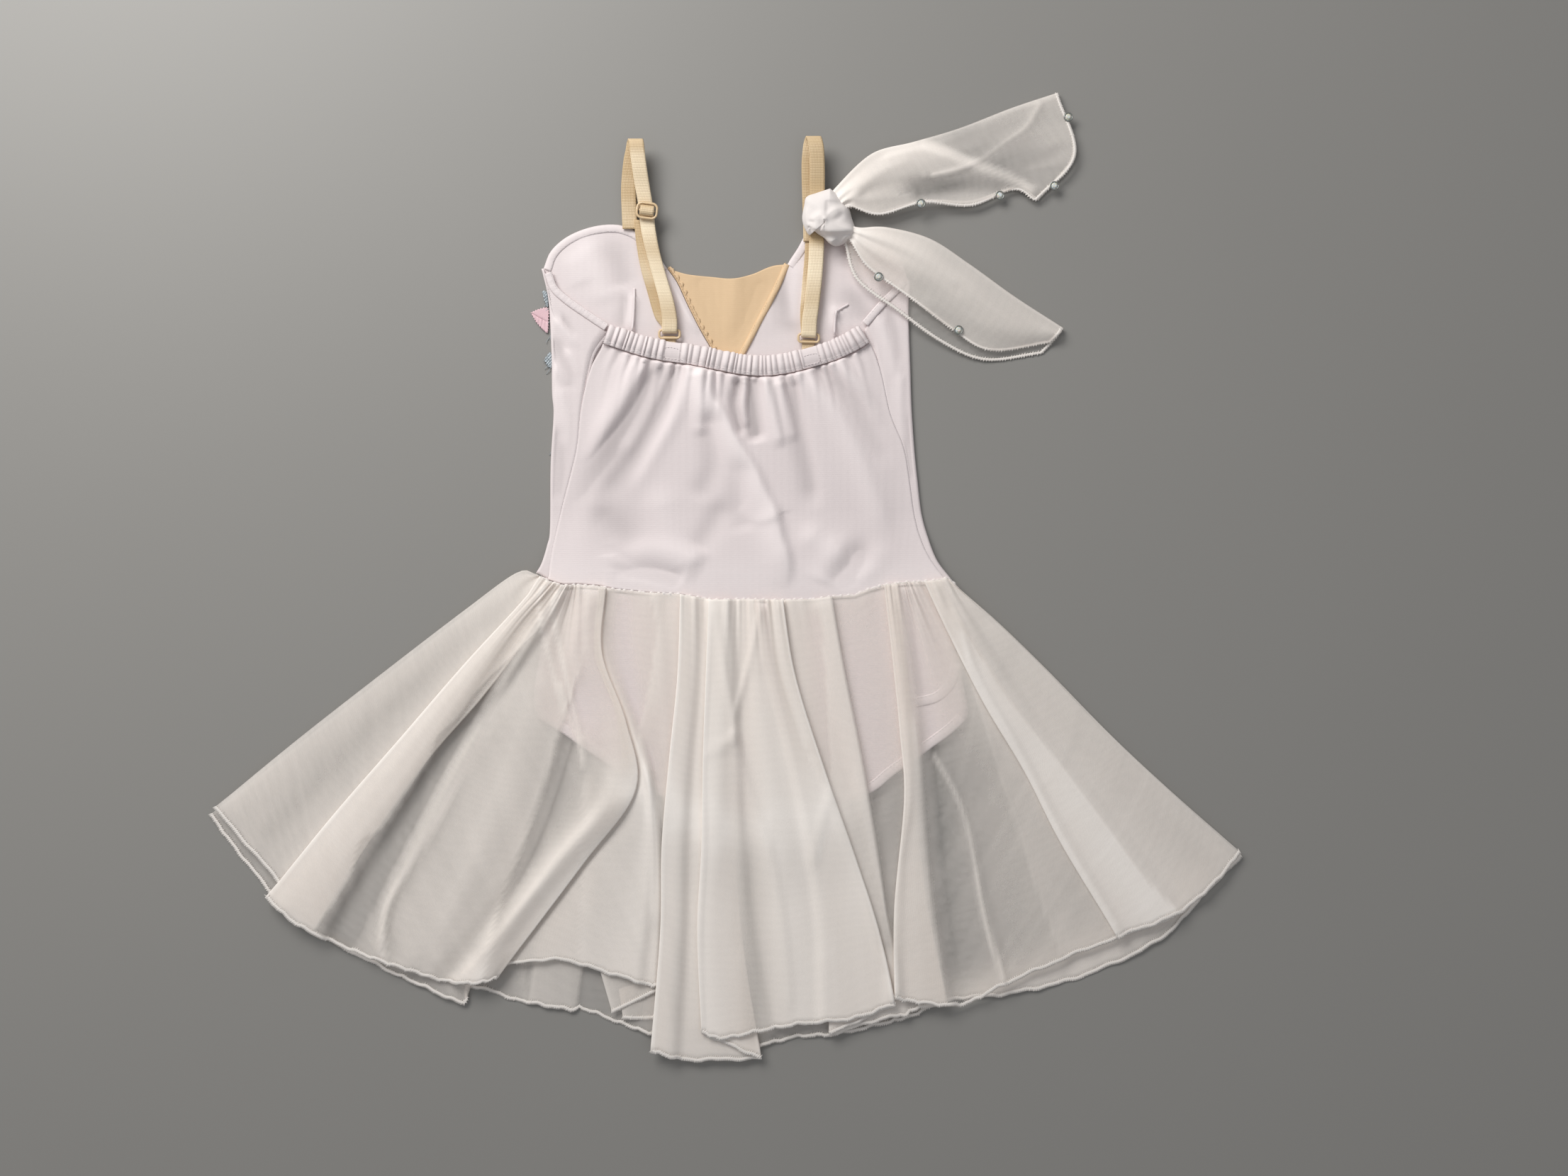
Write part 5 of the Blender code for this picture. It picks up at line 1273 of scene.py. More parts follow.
@dataclass
class Skirt:
    """The full chiffon skirt: a front half on the table and a pleated back half over it."""

    hem_width: float = 4.2
    hem_height: float = 0.5
    stitch: float = 1.5
    gather_reach: float = 24.0
    deepest: float = -1.1
    fold_cover: float = 0.35     # more light stopped at a turn, as a share
    gather_cover: float = 0.14   # and at the gathers
    most_cover: float = 0.97
    length: float = 300.0
    top_share: float = 0.05      # share of the length that is drawn to the waist seam
    hem_share: float = 0.07      # and that wobbles at the hem

    def front_base(self, x: np.ndarray, y: np.ndarray) -> np.ndarray:
        """Middle of the front half's lowest layer."""
        return TABLE_Z + 0.2 * ease((y + 10) / 12) + 0 * x

    def back_base(self, x: np.ndarray, y: np.ndarray) -> np.ndarray:
        """Middle of the back half's lowest layer, which lies on the front half and the brief."""
        return SKIRT_BACK_Z + SKIRT_BACK_RISE * brief_depth(x, y)

    def build(self, serged: Trim) -> None:
        """Makes both halves with their hems."""
        extras = self.hem_folds(serged)
        self.half(SkirtHalf("skirt_front", FRONT_LINES, FRONT_MARKS, [], self.front_base, -SEAM_GAP, 0.25,
                            (1.30, 0.42), ("floor",)), serged, extras)
        self.half(SkirtHalf("skirt_back", BACK_LINES, BACK_MARKS, SKIRT_CREASES, self.back_base, 1.0, 1.0,
                            (1.75, 0.42), ("skirt_front", "brief_back")), serged, [])
        self.waist_seam()

    def waist_seam(self) -> None:
        """The puckered ridge where the gathered skirt is sewn to the leotard."""
        x = np.linspace(-146.5, 146.5, 700)
        y = waist_y(x)
        bead = np.sin(x * 1.15 + 2 * np.sin(x * 0.21)) + 0.6 * np.sin(x * 2.3 + 1)
        path = np.column_stack([x, y + 0.35 + 0.16 * bead, front_z(y) + LIFT + 0.1 + 0.12 * bead])
        section = sections((-1.5, -0.3), (-0.9, 0.45), (0.0, 0.7), (0.9, 0.55), (1.5, -0.2), (0.0, -0.9))
        settle(tube("waist_seam", path, section * (1 + 0.12 * bead)[:, None, None]), WRAPPED)

    def hem_folds(self, serged: Trim) -> list[bpy.types.Object]:
        """The small folds of the front half's hem that show left of the centre; gives their pieces."""
        pieces = []
        u, v = np.linspace(0, 1, 40), np.linspace(0, 1, 24)[:, None]
        for n, (height, points) in enumerate(HEM_FOLDS):
            flat = between(along(points[:3], u), along(points[3:], u), v[:, :, None])
            rise = float(height) + 0.5 * np.sin(u * 9 + n) * v + 0.7 * np.exp(-u / 0.08)
            grid = np.dstack([flat, rise])
            cover = 0.30 + 0.30 * np.exp(-u / 0.12) + 0 * rise
            name = f"skirt_front_fold_{n + 1}"
            edge = (1 - v) * 0.03 + 0 * rise
            pieces.append(settle(cloth(name, grid, CHIFFON_WALL, edge=edge, cover=cover), CHIFFON))
            pieces.append(self.hem(name + "_hem", grid, serged))
        return pieces

    def hem(self, name: str, grid: np.ndarray, serged: Trim) -> bpy.types.Object:
        """The serged band along the last row of a grid."""
        inward = grid[-2] - grid[-1]
        inward /= np.linalg.norm(inward, axis=1)[:, None]
        path = grid[-1] + inward * self.hem_width * 0.4 + (0, 0, 0.25)
        return serged.grow(name, path, THREAD, Width=self.hem_width / 1000,
                           Height=self.hem_height / 1000, Spacing=self.stitch / 1000, Slant=0.35)

    def half(self, half: SkirtHalf, serged: Trim, extras: list[bpy.types.Object]) -> None:
        """Makes one half of the skirt; extras, its other pieces, are not used."""
        sheet = FoldedSheet(half.lines, half.base)
        grid, marks = sheet.grid()
        share = sheet.shares()[:, None]
        x, y = grid[:, :, 0], grid[:, :, 1]
        y += (waist_y(x[0]) + half.above - y[0]) * np.clip(1 - share / self.top_share, 0, 1)
        cover = np.clip(self.cover(half.lines, marks, share) + relief(grid, half.marks), 0.0,
                        self.most_cover)
        self.ripple(grid, marks, share, half)
        edge = running(grid[::-1], 0)[::-1] / 1000
        piece = settle(cloth(half.node + "_cloth", grid, CHIFFON_WALL, edge=edge, cover=cover), CHIFFON,
                       half.node)
        hem = self.hem(half.node + "_hem", grid, serged)
        LOG.info("%s: hem %.3f m", half.node, chain_length(grid[-1]))

    def cover(self, lines: list[FoldLine], marks: np.ndarray, share: np.ndarray) -> np.ndarray:
        """Share of the light that each face stops, over the grid."""
        stops = np.array([np.interp(share[:, 0], np.linspace(0, 1, len(line.cover)), line.cover)
                          for line in lines])
        plain = np.array([np.interp(marks, np.arange(len(lines)), row) for row in stops.T])
        turns = np.array([i for i, line in enumerate(lines) if line.turn is not Turn.SOFT] or [np.inf])
        fold = np.exp(-(np.abs(marks[:, None] - turns).min(1) / 0.05) ** 2)
        return (plain * (1 + self.fold_cover * fold)
                + self.gather_cover * np.exp(-share / 0.1) * (1 + 0.5 * self.gathers(marks)))

    def gathers(self, marks: np.ndarray) -> np.ndarray:
        """The uneven wave of the gathers along the waist."""
        return (np.sin(marks * 9.0 + 1.5 * np.sin(marks * 1.3)) + 0.6 * np.sin(marks * 17.0 + 2.0)) / 1.6

    def ripple(self, grid: np.ndarray, marks: np.ndarray, share: np.ndarray, half: SkirtHalf) -> None:
        """Adds gathers under the waist seam, slow waves down the cloth, creases and an uneven hem."""
        gathers = self.gathers(marks) * np.exp(-share * self.length / self.gather_reach)
        waves = np.sin(marks * 4.1 + 2 * np.sin(marks * 1.7) + share * 1.5) * share * 0.35
        grid[:, :, 2] += half.life * (gathers + waves)
        grid[:, :, 2] += np.maximum(self.deepest, relief(grid, half.folds))
        wobble = 0.6 * np.sin(marks * 11.0) + 0.35 * np.sin(marks * 23.0 + 1.0)
        grid[:, :, 1] += wobble * ease((share - (1 - self.hem_share)) / self.hem_share)


# ---------------------------------------------------------------- leotard
@dataclass
class Leotard:
    """Knit body: a front that wraps both sides, a gathered back over it, an insert and a brief."""

    rows: int = 110
    belly_columns: int = 120
    strip_columns: int = 14
    turn_steps: int = 5
    back_rows: int = 150
    back_columns: int = 170
    side_gap: float = 0.08
    crease_depth: float = 1.75
    allowance: float = 3.5
    casing_pleats: int = 50
    cup_height: float = 0.55
    fade: float = 0.2            # share of a crease over which its end dies away
    front_painted_shade_depth: float = 2.6    # depth of a hollow that gets the full painted shade
    back_painted_shade_depth: float = 4.0
    puff: float = 3.5            # how far the back stands up between its seams

    def build(self, stitches: Trim) -> None:
        """Makes the knit panels and their seams."""
        self.front()
        self.insert()
        self.back()
        self.brief("brief_front", BRIEF_FRONT_Z)
        self.brief("brief_back", BRIEF_BACK_Z)
        self.insert_seams(stitches)
        self.leg_bindings(stitches)
        self.bust_seams()

    def panel(self, node: str, grid: np.ndarray, finish: Finish, cut: tuple[float, float], held: str,
              *under: str, **marks: np.ndarray) -> None:
        """Makes a knit sheet about a grid of middle points."""
        piece = settle(cloth(node + "_cloth", grid, KNIT_WALL, **marks), finish, node)

    def front(self) -> None:
        """The front panel, which lies face down and wraps round both sides."""
        v, u = np.linspace(0, 1, self.rows), np.linspace(0, 1, self.belly_columns)
        left, right = along(SIDE_LEFT, v), along(SIDE_RIGHT, v)
        neck = along(NECK_LEFT[:-1] + VEE_LEFT[:-1] + VEE_RIGHT[:-1] + NECK_RIGHT, u)
        hem_x = np.linspace(-148, 148, self.belly_columns)
        hem = np.stack([hem_x, waist_y(hem_x) + SEAM_GAP], 1)
        belly = between(hem, neck, v[:, None, None])
        belly = belly + between((left - belly[:, 0])[:, None], (right - belly[:, -1])[:, None], u[:, None])
        cups = np.maximum(0, relief(belly, CUP_CREASES, self.fade) + self.cup_height)
        y = belly[:, :, 1]
        belly = np.dstack([belly, front_z(y) + cups * ease((y - CUP_Y) / CUP_RISE)])
        steps = np.linspace(0, 1, self.strip_columns)
        strips = []
        for seam, side, edge in ((SEAM_LEFT, left, ARMHOLE_LEFT), (SEAM_RIGHT, right, ARMHOLE_RIGHT)):
            flat = between(along(seam, v)[:, None], side[:, None], steps[:, None])
            flat = flat + (along(edge, steps) - flat[-1]) * (v ** 2)[:, None, None]
            rise = relief(flat, SIDE_CREASES, self.fade) * ease(steps * 4) * ease((1 - steps) * 4)
            strip = np.dstack([flat, front_z(flat[:, :, 1]) + LIFT + np.maximum(rise, -0.5)])
            strips.append(np.concatenate([self.allowances(strip), strip], axis=1))
        angles = np.linspace(0, math.pi, self.turn_steps + 2)[1:-1]
        reach = np.array((LIFT / 2, 0))
        grid = np.concatenate([strips[0], rounded(strips[0][:, -1], belly[:, 0], -reach, angles), belly,
                               rounded(belly[:, -1], strips[1][:, -1], reach, angles),
                               strips[1][:, ::-1]], axis=1)
        upper = np.arange(grid.shape[1])
        upper = np.minimum(upper, upper[::-1]) < strips[0].shape[1]
        folds = np.where(upper, relief(grid, SIDE_CREASES, self.fade),
                         relief(grid, CUP_CREASES, self.fade) * ease((grid[:, :, 1] - CUP_Y) / CUP_RISE))
        # the knit's colour gets painted shade in the creases' hollows and a painted highlight on their
        # ridges
        self.panel("bodice_front", grid, KNIT, (0.46, 0.27), "laid", "floor", "skirt_front",
                   hollow=np.clip(-folds / self.front_painted_shade_depth, -0.6, 0.7))

    def allowances(self, strip: np.ndarray) -> np.ndarray:
        """Columns of the seam allowance, which lies under the back panel's edge."""
        inward = strip[:, 0] - strip[:, 1]
        inward /= np.linalg.norm(inward, axis=1)[:, None]
        return np.stack([strip[:, 0] + inward * (self.allowance * k, self.allowance * k, 0) - (0, 0, drop)
                         for k, drop in ((1.0, 1.0), (0.5, 0.98), (0.2, 0.8))], axis=1)

    def insert(self) -> None:
        """The skin-coloured vee between the cups."""
        v, u = np.linspace(0.06, 1, 60), np.linspace(0, 1, 60)
        left, right = along(VEE_LEFT, 1 - v) + (0.7, 0), along(VEE_RIGHT, v) - (0.7, 0)
        flat = between(left[:, None], right[:, None], u[:, None])
        dip = along(VEE_TOP, u)[:, 1] - between(VEE_TOP[0][1], VEE_TOP[-1][1], u)
        flat[:, :, 1] += dip * (v ** 3)[:, None]
        height = TABLE_Z + np.maximum(0, relief(flat, INSERT_CREASES) + 0.5)
        self.panel("neck_insert", np.dstack([flat, height]), SKIN, (0.09, 0.07), "laid", "floor")

    def insert_seams(self, stitches: Trim) -> None:
        """The insert's seam allowances: a zigzagged edge at the left, a folded strip at the right."""
        left, right = along(VEE_LEFT, np.linspace(0, 0.93, 90)), along(VEE_RIGHT, np.linspace(0.1, 1.0, 60))
        step = np.arange(len(left))
        reach = 2.8 + 0.9 * (step % 6 >= 3) + 0.4 * np.sin(step * 0.9)
        ragged = sections((0.4, 0.2), (0.4, 1.0), (reach * 0.7, 1.3), (reach, 0.9), (reach, 0.2))
        settle(tube("insert_allowance_left", raised(left, TABLE_Z + 0.3), ragged), SKIN)
        top = 1.7 + 0.25 * np.sin(np.arange(len(right)) * 0.5)
        folded = sections((-1.6, 0.1), (-1.6, 0.9), (-0.6, top), (1.2, top), (2.6, 0.9), (2.6, 0.1))
        settle(tube("insert_allowance_right", raised(right, TABLE_Z + 0.35), folded), SKIN)
        for name, line, offset, height in (("insert_stitches_left", left, -1.5, 1.9),
                                           ("insert_stitches_right", right, -1.9, 1.5)):
            stitches.grow(name, raised(inset(line, offset), TABLE_Z + height), SKIN_THREAD,
                          Length=0.0022, Thread=STITCH_THREAD)

    def back(self) -> None:
        """The back panel, gathered into its casing, with the folds that fall from it."""
        v, u = np.linspace(0, 1, self.back_rows), np.linspace(0, 1, self.back_columns)
        left = along(SEAM_LEFT, v) + (self.side_gap, 0)
        right = along(SEAM_RIGHT, v) - (self.side_gap, 0)
        foot_x = between(left[0, 0], right[0, 0], u)
        foot = np.stack([foot_x, waist_y(foot_x) + SEAM_GAP], 1)
        top = inset(along(CASING_LINE, u), CASING_WIDTH / 2 + SEAM_GAP + 0.1)
        base = between(foot, top, v[:, None, None])
        fade = (1 - v ** 6)[:, None, None]
        base = base + (left - base[:, 0])[:, None] * ((1 - u) ** 2)[:, None] * fade
        base = base + (right - base[:, -1])[:, None] * (u ** 2)[:, None] * fade
        x, y = base[:, :, 0], base[:, :, 1]
        edge = ease(np.minimum(u, 1 - u) / 0.09)
        above = y - waist_y(x) - 1
        seam = ease(above / 14)
        puff = self.puff * np.sqrt(np.sin(math.pi * u)) * ease((above + 6) / 64)
        folds, small = relief(base, BACK_CREASES, self.fade), self.gathers(u, v[:, None])
        height = (puff + seam * (self.crease_depth * folds + small)) * ease((1 - v) / 0.013)[:, None]
        # painted shade in the hollows of the folds and gathers and a painted highlight on their ridges,
        # fading at the edges and the waist seam
        hollow = np.clip(-(folds + 0.55 * small) / self.back_painted_shade_depth, -0.7, 0.8) * edge * seam
        # painted shade on the panel's left side and a painted highlight along its foot
        hollow += 0.16 * np.exp(-((x + 92) / 22) ** 2) * ease((y - 15) / 25)
        hollow -= 0.6 * np.exp(-((y - 8) / 15) ** 2)
        grid = np.dstack([base, front_z(y) + LIFT + edge * np.maximum(0.0, height)])
        self.panel("bodice_back", grid, KNIT, (0.32, 0.18), "gathered", "bodice_front", hollow=hollow)

    def gathers(self, u: np.ndarray, v: np.ndarray) -> np.ndarray:
        """Small pleats that fall from the casing and fade, and puckers along the waist seam."""
        turns = u * self.casing_pleats
        wave = np.sin(math.pi * (turns + 0.35 * np.sin(turns * 0.9)))
        reach = 0.045 + 0.075 * (0.5 + 0.5 * np.sin(turns * 2.3 + 1.0))
        high = wave * np.exp(-((1 - v) / reach) ** 1.2) * 1.5
        return high + np.sin(u * 150 + 2 * np.sin(u * 31)) * np.exp(-v / 0.025) * 0.35

    def brief(self, node: str, level: float) -> None:
        """One half of the brief below the waist."""
        v, u = np.linspace(0, 0.985, 50), np.linspace(0, 1, 60)
        flat = between(along(BRIEF_OUTLINE[:7], v)[:, None], along(BRIEF_OUTLINE[:5:-1], v)[:, None],
                       u[:, None])
        x, y = flat[:, :, 0], flat[:, :, 1]
        top = waist_y(x) - 1.2 - 4 * (np.abs(x) / 145) ** 8
        y += (top - between(BRIEF_OUTLINE[0][1], BRIEF_OUTLINE[-1][1], u)) * ((1 - v) ** 4)[:, None]
        grid = np.dstack([flat, level - 0.4 * ease((-y - 90) / 60)])
        self.panel(node, grid, KNIT, (0.31, 0.17), "laid", "skirt_front")

    def bust_seams(self) -> None:
        """The narrow raised seams that shape the cups, seen from inside."""
        section = sections((-0.9, 0.0), (-0.7, 0.5), (0.0, 0.75), (0.6, 0.5), (0.8, 0.0))
        for name, points in (("bust_seam_left", "-80,214 -80.5,196 -82,181"),
                             ("bust_seam_right", "62.5,199 61.5,190 61,180"),
                             ("bust_dart_right", "62.5,198 66.5,200.5 71,203")):
            line = along(spots(points), np.linspace(0, 1, 40))
            rise = np.maximum(0, relief(line, CUP_CREASES, self.fade) + self.cup_height)
            settle(tube(name, raised(line, front_z(line[:, 1]) + rise + 0.75), section), KNIT_SEAM)

    def leg_bindings(self, stitches: Trim) -> None:
        """The turned, stitched edges of the leg openings on the brief's upper half."""
        section = sections((-3.6, 0.1), (-3.6, 0.5), (-2.6, 0.95), (2.6, 0.95), (3.6, 0.5), (3.6, 0.1))
        for name, points in (("leg_binding_right", LEG_RIGHT), ("leg_binding_left", LEG_LEFT),
                             ("leg_fold_right", LEG_FOLD)):
            line = along(points, np.linspace(0, 1, 70))
            settle(tube(name, raised(line, BRIEF_BACK_Z + 0.2), section), KNIT_SEAM)
            stitches.grow(name + "_stitches", raised(inset(line, 2.6), BRIEF_BACK_Z + 1.15), KNIT_THREAD,
                          Length=0.0026, Thread=STITCH_THREAD)


@dataclass
class Edges:
    """The elastic casing of the back and the bindings of the cups and armholes."""

    pleats: int = 50
    pleat_steps: int = 9
    spread: tuple[float, float] = (0.45, 1.5)    # least and greatest width and depth of a pleat
    tabs_x: tuple[float, float] = (-53.7, 44.2)
    tab_reach: float = 6.5
    casing_z: float = 4.0
    width: float = 5.4
    height: float = 1.0

    def build(self, stitches: Trim) -> None:
        """Makes the casing and the four bindings with their stitches."""
        self.casing(stitches)
        level = TABLE_Z + 0.8
        upper = float(front_z(200)) + LIFT + 0.8
        shares = np.linspace(0.02, 0.94, 24)
        for name, points, offset, z in (
                ("binding_cup_left", NECK_LEFT, 3.0, level),
                ("binding_cup_right", NECK_RIGHT[:4], 3.0, level),
                ("binding_armhole_left", along(ARMHOLE_LEFT, shares), 2.3, upper),
                ("binding_armhole_right", along(ARMHOLE_RIGHT, shares), -2.4, upper)):
            self.binding(name, inset(points, offset), z, stitches, math.copysign(0.3, offset))

    def binding(self, name: str, points: np.ndarray, z: float, stitches: Trim, beside: float) -> None:
        """A soft half-round roll along an edge, with stitches at a share of its width beside it."""
        line = along(points, np.linspace(0, 1, 90))
        step = np.arange(len(line))
        swell = 1 + 0.05 * np.sin(step * 0.8) + 0.04 * np.sin(step * 1.9)
        roll = sections((0, -0.02), *((-math.cos(angle) * self.width / 2,
                                       math.sin(angle) ** 0.8 * self.height * swell)
                                      for angle in np.linspace(0, math.pi, 9)))
        settle(tube(name + "_cloth", raised(line, z), roll), KNIT_SEAM, name)
        stitches.grow(name + "_stitches", raised(inset(line, beside * self.width), z + 0.8), KNIT_THREAD,
                      Length=0.0024, Thread=0.00035)

    def casing(self, stitches: Trim) -> None:
        """Elastic in a tunnel of cloth: soft uneven pleats across it and a ruffled top."""
        shares = np.linspace(0, 1, self.pleats * self.pleat_steps + 1)
        line = along(CASING_LINE, shares)
        draw = np.random.default_rng(4)
        ends = np.cumsum(np.concatenate([[0], draw.uniform(*self.spread, self.pleats)]))
        ends /= ends[-1]
        wave = np.abs(np.sin(math.pi * np.interp(shares, ends, np.arange(len(ends))))) ** 0.6
        depth = np.interp(shares, ends, draw.uniform(*self.spread, len(ends)))
        flat = np.zeros(len(shares))
        for tab_x in self.tabs_x:
            flat = np.maximum(flat, ease((self.tab_reach - np.abs(line[:, 0] - tab_x)) / 2.0))
        ridge = wave * depth * (1 - flat) + 0.25 * flat
        h, top = 1.7 * ridge, 7.0 + 0.9 * (ridge - 0.4)    # height of the pleats, reach of the ruffle
        section = sections((-7.0, 0.0), (-7.1, 1.3 + 0.3 * h), (-6.2, 1.9 + 0.7 * h), (-5.0, 1.7 + 0.6 * h),
                           (-3.8, 2.1 + h), (0.0, 2.4 + h), (3.6, 2.2 + h), (5.4, 1.7 + 0.9 * h),
                           (top, 1.2 + 0.7 * h), (top, 0.3), (6.4, 0.0))
        body = tube("back_casing_cloth", raised(line, self.casing_z), section)
        # painted shade in the grooves between the pleats and a faint painted highlight on their crests, none
        # on the flat tabs
        hollow = np.clip(1 - 1.5 * wave, -0.3, 0.8) * np.minimum(1, depth) * (1 - flat)
        mark(body, "hollow", np.repeat(hollow, section.shape[1]))
        settle(body, KNIT, "back_casing")
        stitches.grow("back_casing_stitches", raised(inset(line, 5.0), 6.05 + 0.8 * ridge), KNIT_THREAD,
                      Length=0.0024, Thread=STITCH_THREAD)
        for side, box in (("left", "-59,164.2 -48.6,162.6 -48.2,170.6 -58.6,172 -59,164.2"),
                          ("right", "39.2,159.6 50,162.2 49,168 38.4,165.4 39.2,159.6")):
            stitches.grow(f"tab_stitches_{side}", raised(along(spots(box), np.linspace(0, 1, 60)), 6.85),
                          KNIT_THREAD, Length=0.002, Thread=STITCH_THREAD)


# ---------------------------------------------------------------- straps and fittings
@dataclass
class Straps:
    """Skin-coloured elastic straps with their slider, rings and tabs."""

    wall: float = 1.2
    wire_radius: float = 0.85
    cuts: int = 10
    columns: int = 9
    slider_middle: tuple[float, float] = (-71.2, 269.0)
    slider_size: tuple[float, float] = (14.0, 10.5)
    slider_z: float = 10.9
    slider_lean: float = math.radians(-7)
    bar_reach: float = 5.6
    ring_size: tuple[float, float] = (14.4, 5.6)
    ring_z: float = 4.3
    tab_size: tuple[float, float] = (9.0, 12.0)
    tab_z: float = 2.6
    tab_wall: float = 1.0
    loop_wall: float = 0.9

    def build(self) -> None:
        """Makes both straps and their fittings."""
        # lengths along each strap where its satin face is up and gets the painted sheen
        for node, path, satin_sheen_span in (("strap_left", STRAP_LEFT, (0.068, 0.210)),
                                  ("strap_right", STRAP_RIGHT, (0.145, 0.222))):
            grid = self.ribbon(path)
            finish = replace(ELASTIC, name=f"elastic_{node}", satin_sheen_span=satin_sheen_span)
            piece = settle(cloth(node + "_ribbon", grid, self.wall), finish, node)
        self.slider()
        for node, middle, lean in (("ring_left", (-55.3, 181.9), 0.0),
                                   ("ring_right", (42.9, 179.1), math.radians(-1))):
            self.loop(node + "_wire", middle, self.ring_z, self.ring_size, lean, node)
        self.tab("tab_left", -55.3, 180.4)
        self.tab("tab_right", 42.7, 177.8)

    def ribbon(self, path: Spots) -> np.ndarray:
        """Middle points of a ribbon along a strap's path of x, y, z and its lean in degrees."""
        x, y, z, lean = bend(path, self.cuts).T[:, :, None]
        lean = np.radians(lean)
        offsets = np.linspace(-0.5, 0.5, self.columns) * STRAP_WIDTH
        cup = 0.25 * (2 * np.abs(offsets) / STRAP_WIDTH) ** 4
        return np.dstack([x + np.cos(lean) * offsets, y + np.sin(lean) * offsets, z - cup])

    def loop(self, name: str, middle: Sequence[float], z: float, size: tuple[float, float], lean: float,
             node: str) -> None:
        """A rounded rectangle of coated wire."""
        corner = min(size) * 0.34
        across, up = (side / 2 - corner for side in size)
        outline = [(cx * across + corner * math.cos(angle), cy * up + corner * math.sin(angle))
                   for cx, cy, start in ((1, 1, 0), (-1, 1, 90), (-1, -1, 180), (1, -1, 270))
                   for angle in np.radians(start + np.linspace(0, 90, 9))]
        cos, sin = math.cos(lean), math.sin(lean)
        flat = np.array(outline) @ np.array([[cos, sin], [-sin, cos]]) + middle
        settle(tube(name, raised(flat, z), wire(self.wire_radius), closed=True), COATED, node)

    def slider(self) -> None:
        """The left strap's slider: a frame over the ribbon, which loops over its middle bar."""
        middle, z = np.array(self.slider_middle), self.slider_z
        self.loop("slider_frame", middle, z, self.slider_size, self.slider_lean, "slider_left")
        side = np.array((math.cos(self.slider_lean), math.sin(self.slider_lean)))
        down = np.array((-side[1], side[0]))
        reach = side * self.bar_reach
        bar = raised(np.linspace(middle - reach, middle + reach, 6), z)
        settle(tube("slider_bar", bar, wire(self.wire_radius * 0.9)), COATED)
        t = np.linspace(-1, 1, 17)[:, None, None]
        offsets = np.linspace(-0.5, 0.5, self.columns)[:, None] * (STRAP_WIDTH - 0.6)
        flat = middle - down * t * 3.6 + side * offsets
        height = z + 1.75 - 2.4 * np.abs(t[:, :, 0]) ** 2.6 + 0 * flat[:, :, 0]
        settle(cloth("strap_left_loop", np.dstack([flat, height]), self.loop_wall), ELASTIC)

    def tab(self, node: str, x: float, y: float) -> None:
        """The short loop of elastic that ties a ring to the casing."""
        width, length = self.tab_size
        across, down = np.meshgrid(np.linspace(-0.5, 0.5, self.columns) * width, np.linspace(0, -length, 16))
        grid = np.dstack([x + across, y + down, self.tab_z + 0 * across])
        settle(cloth(node + "_ribbon", grid, self.tab_wall), ELASTIC, node)


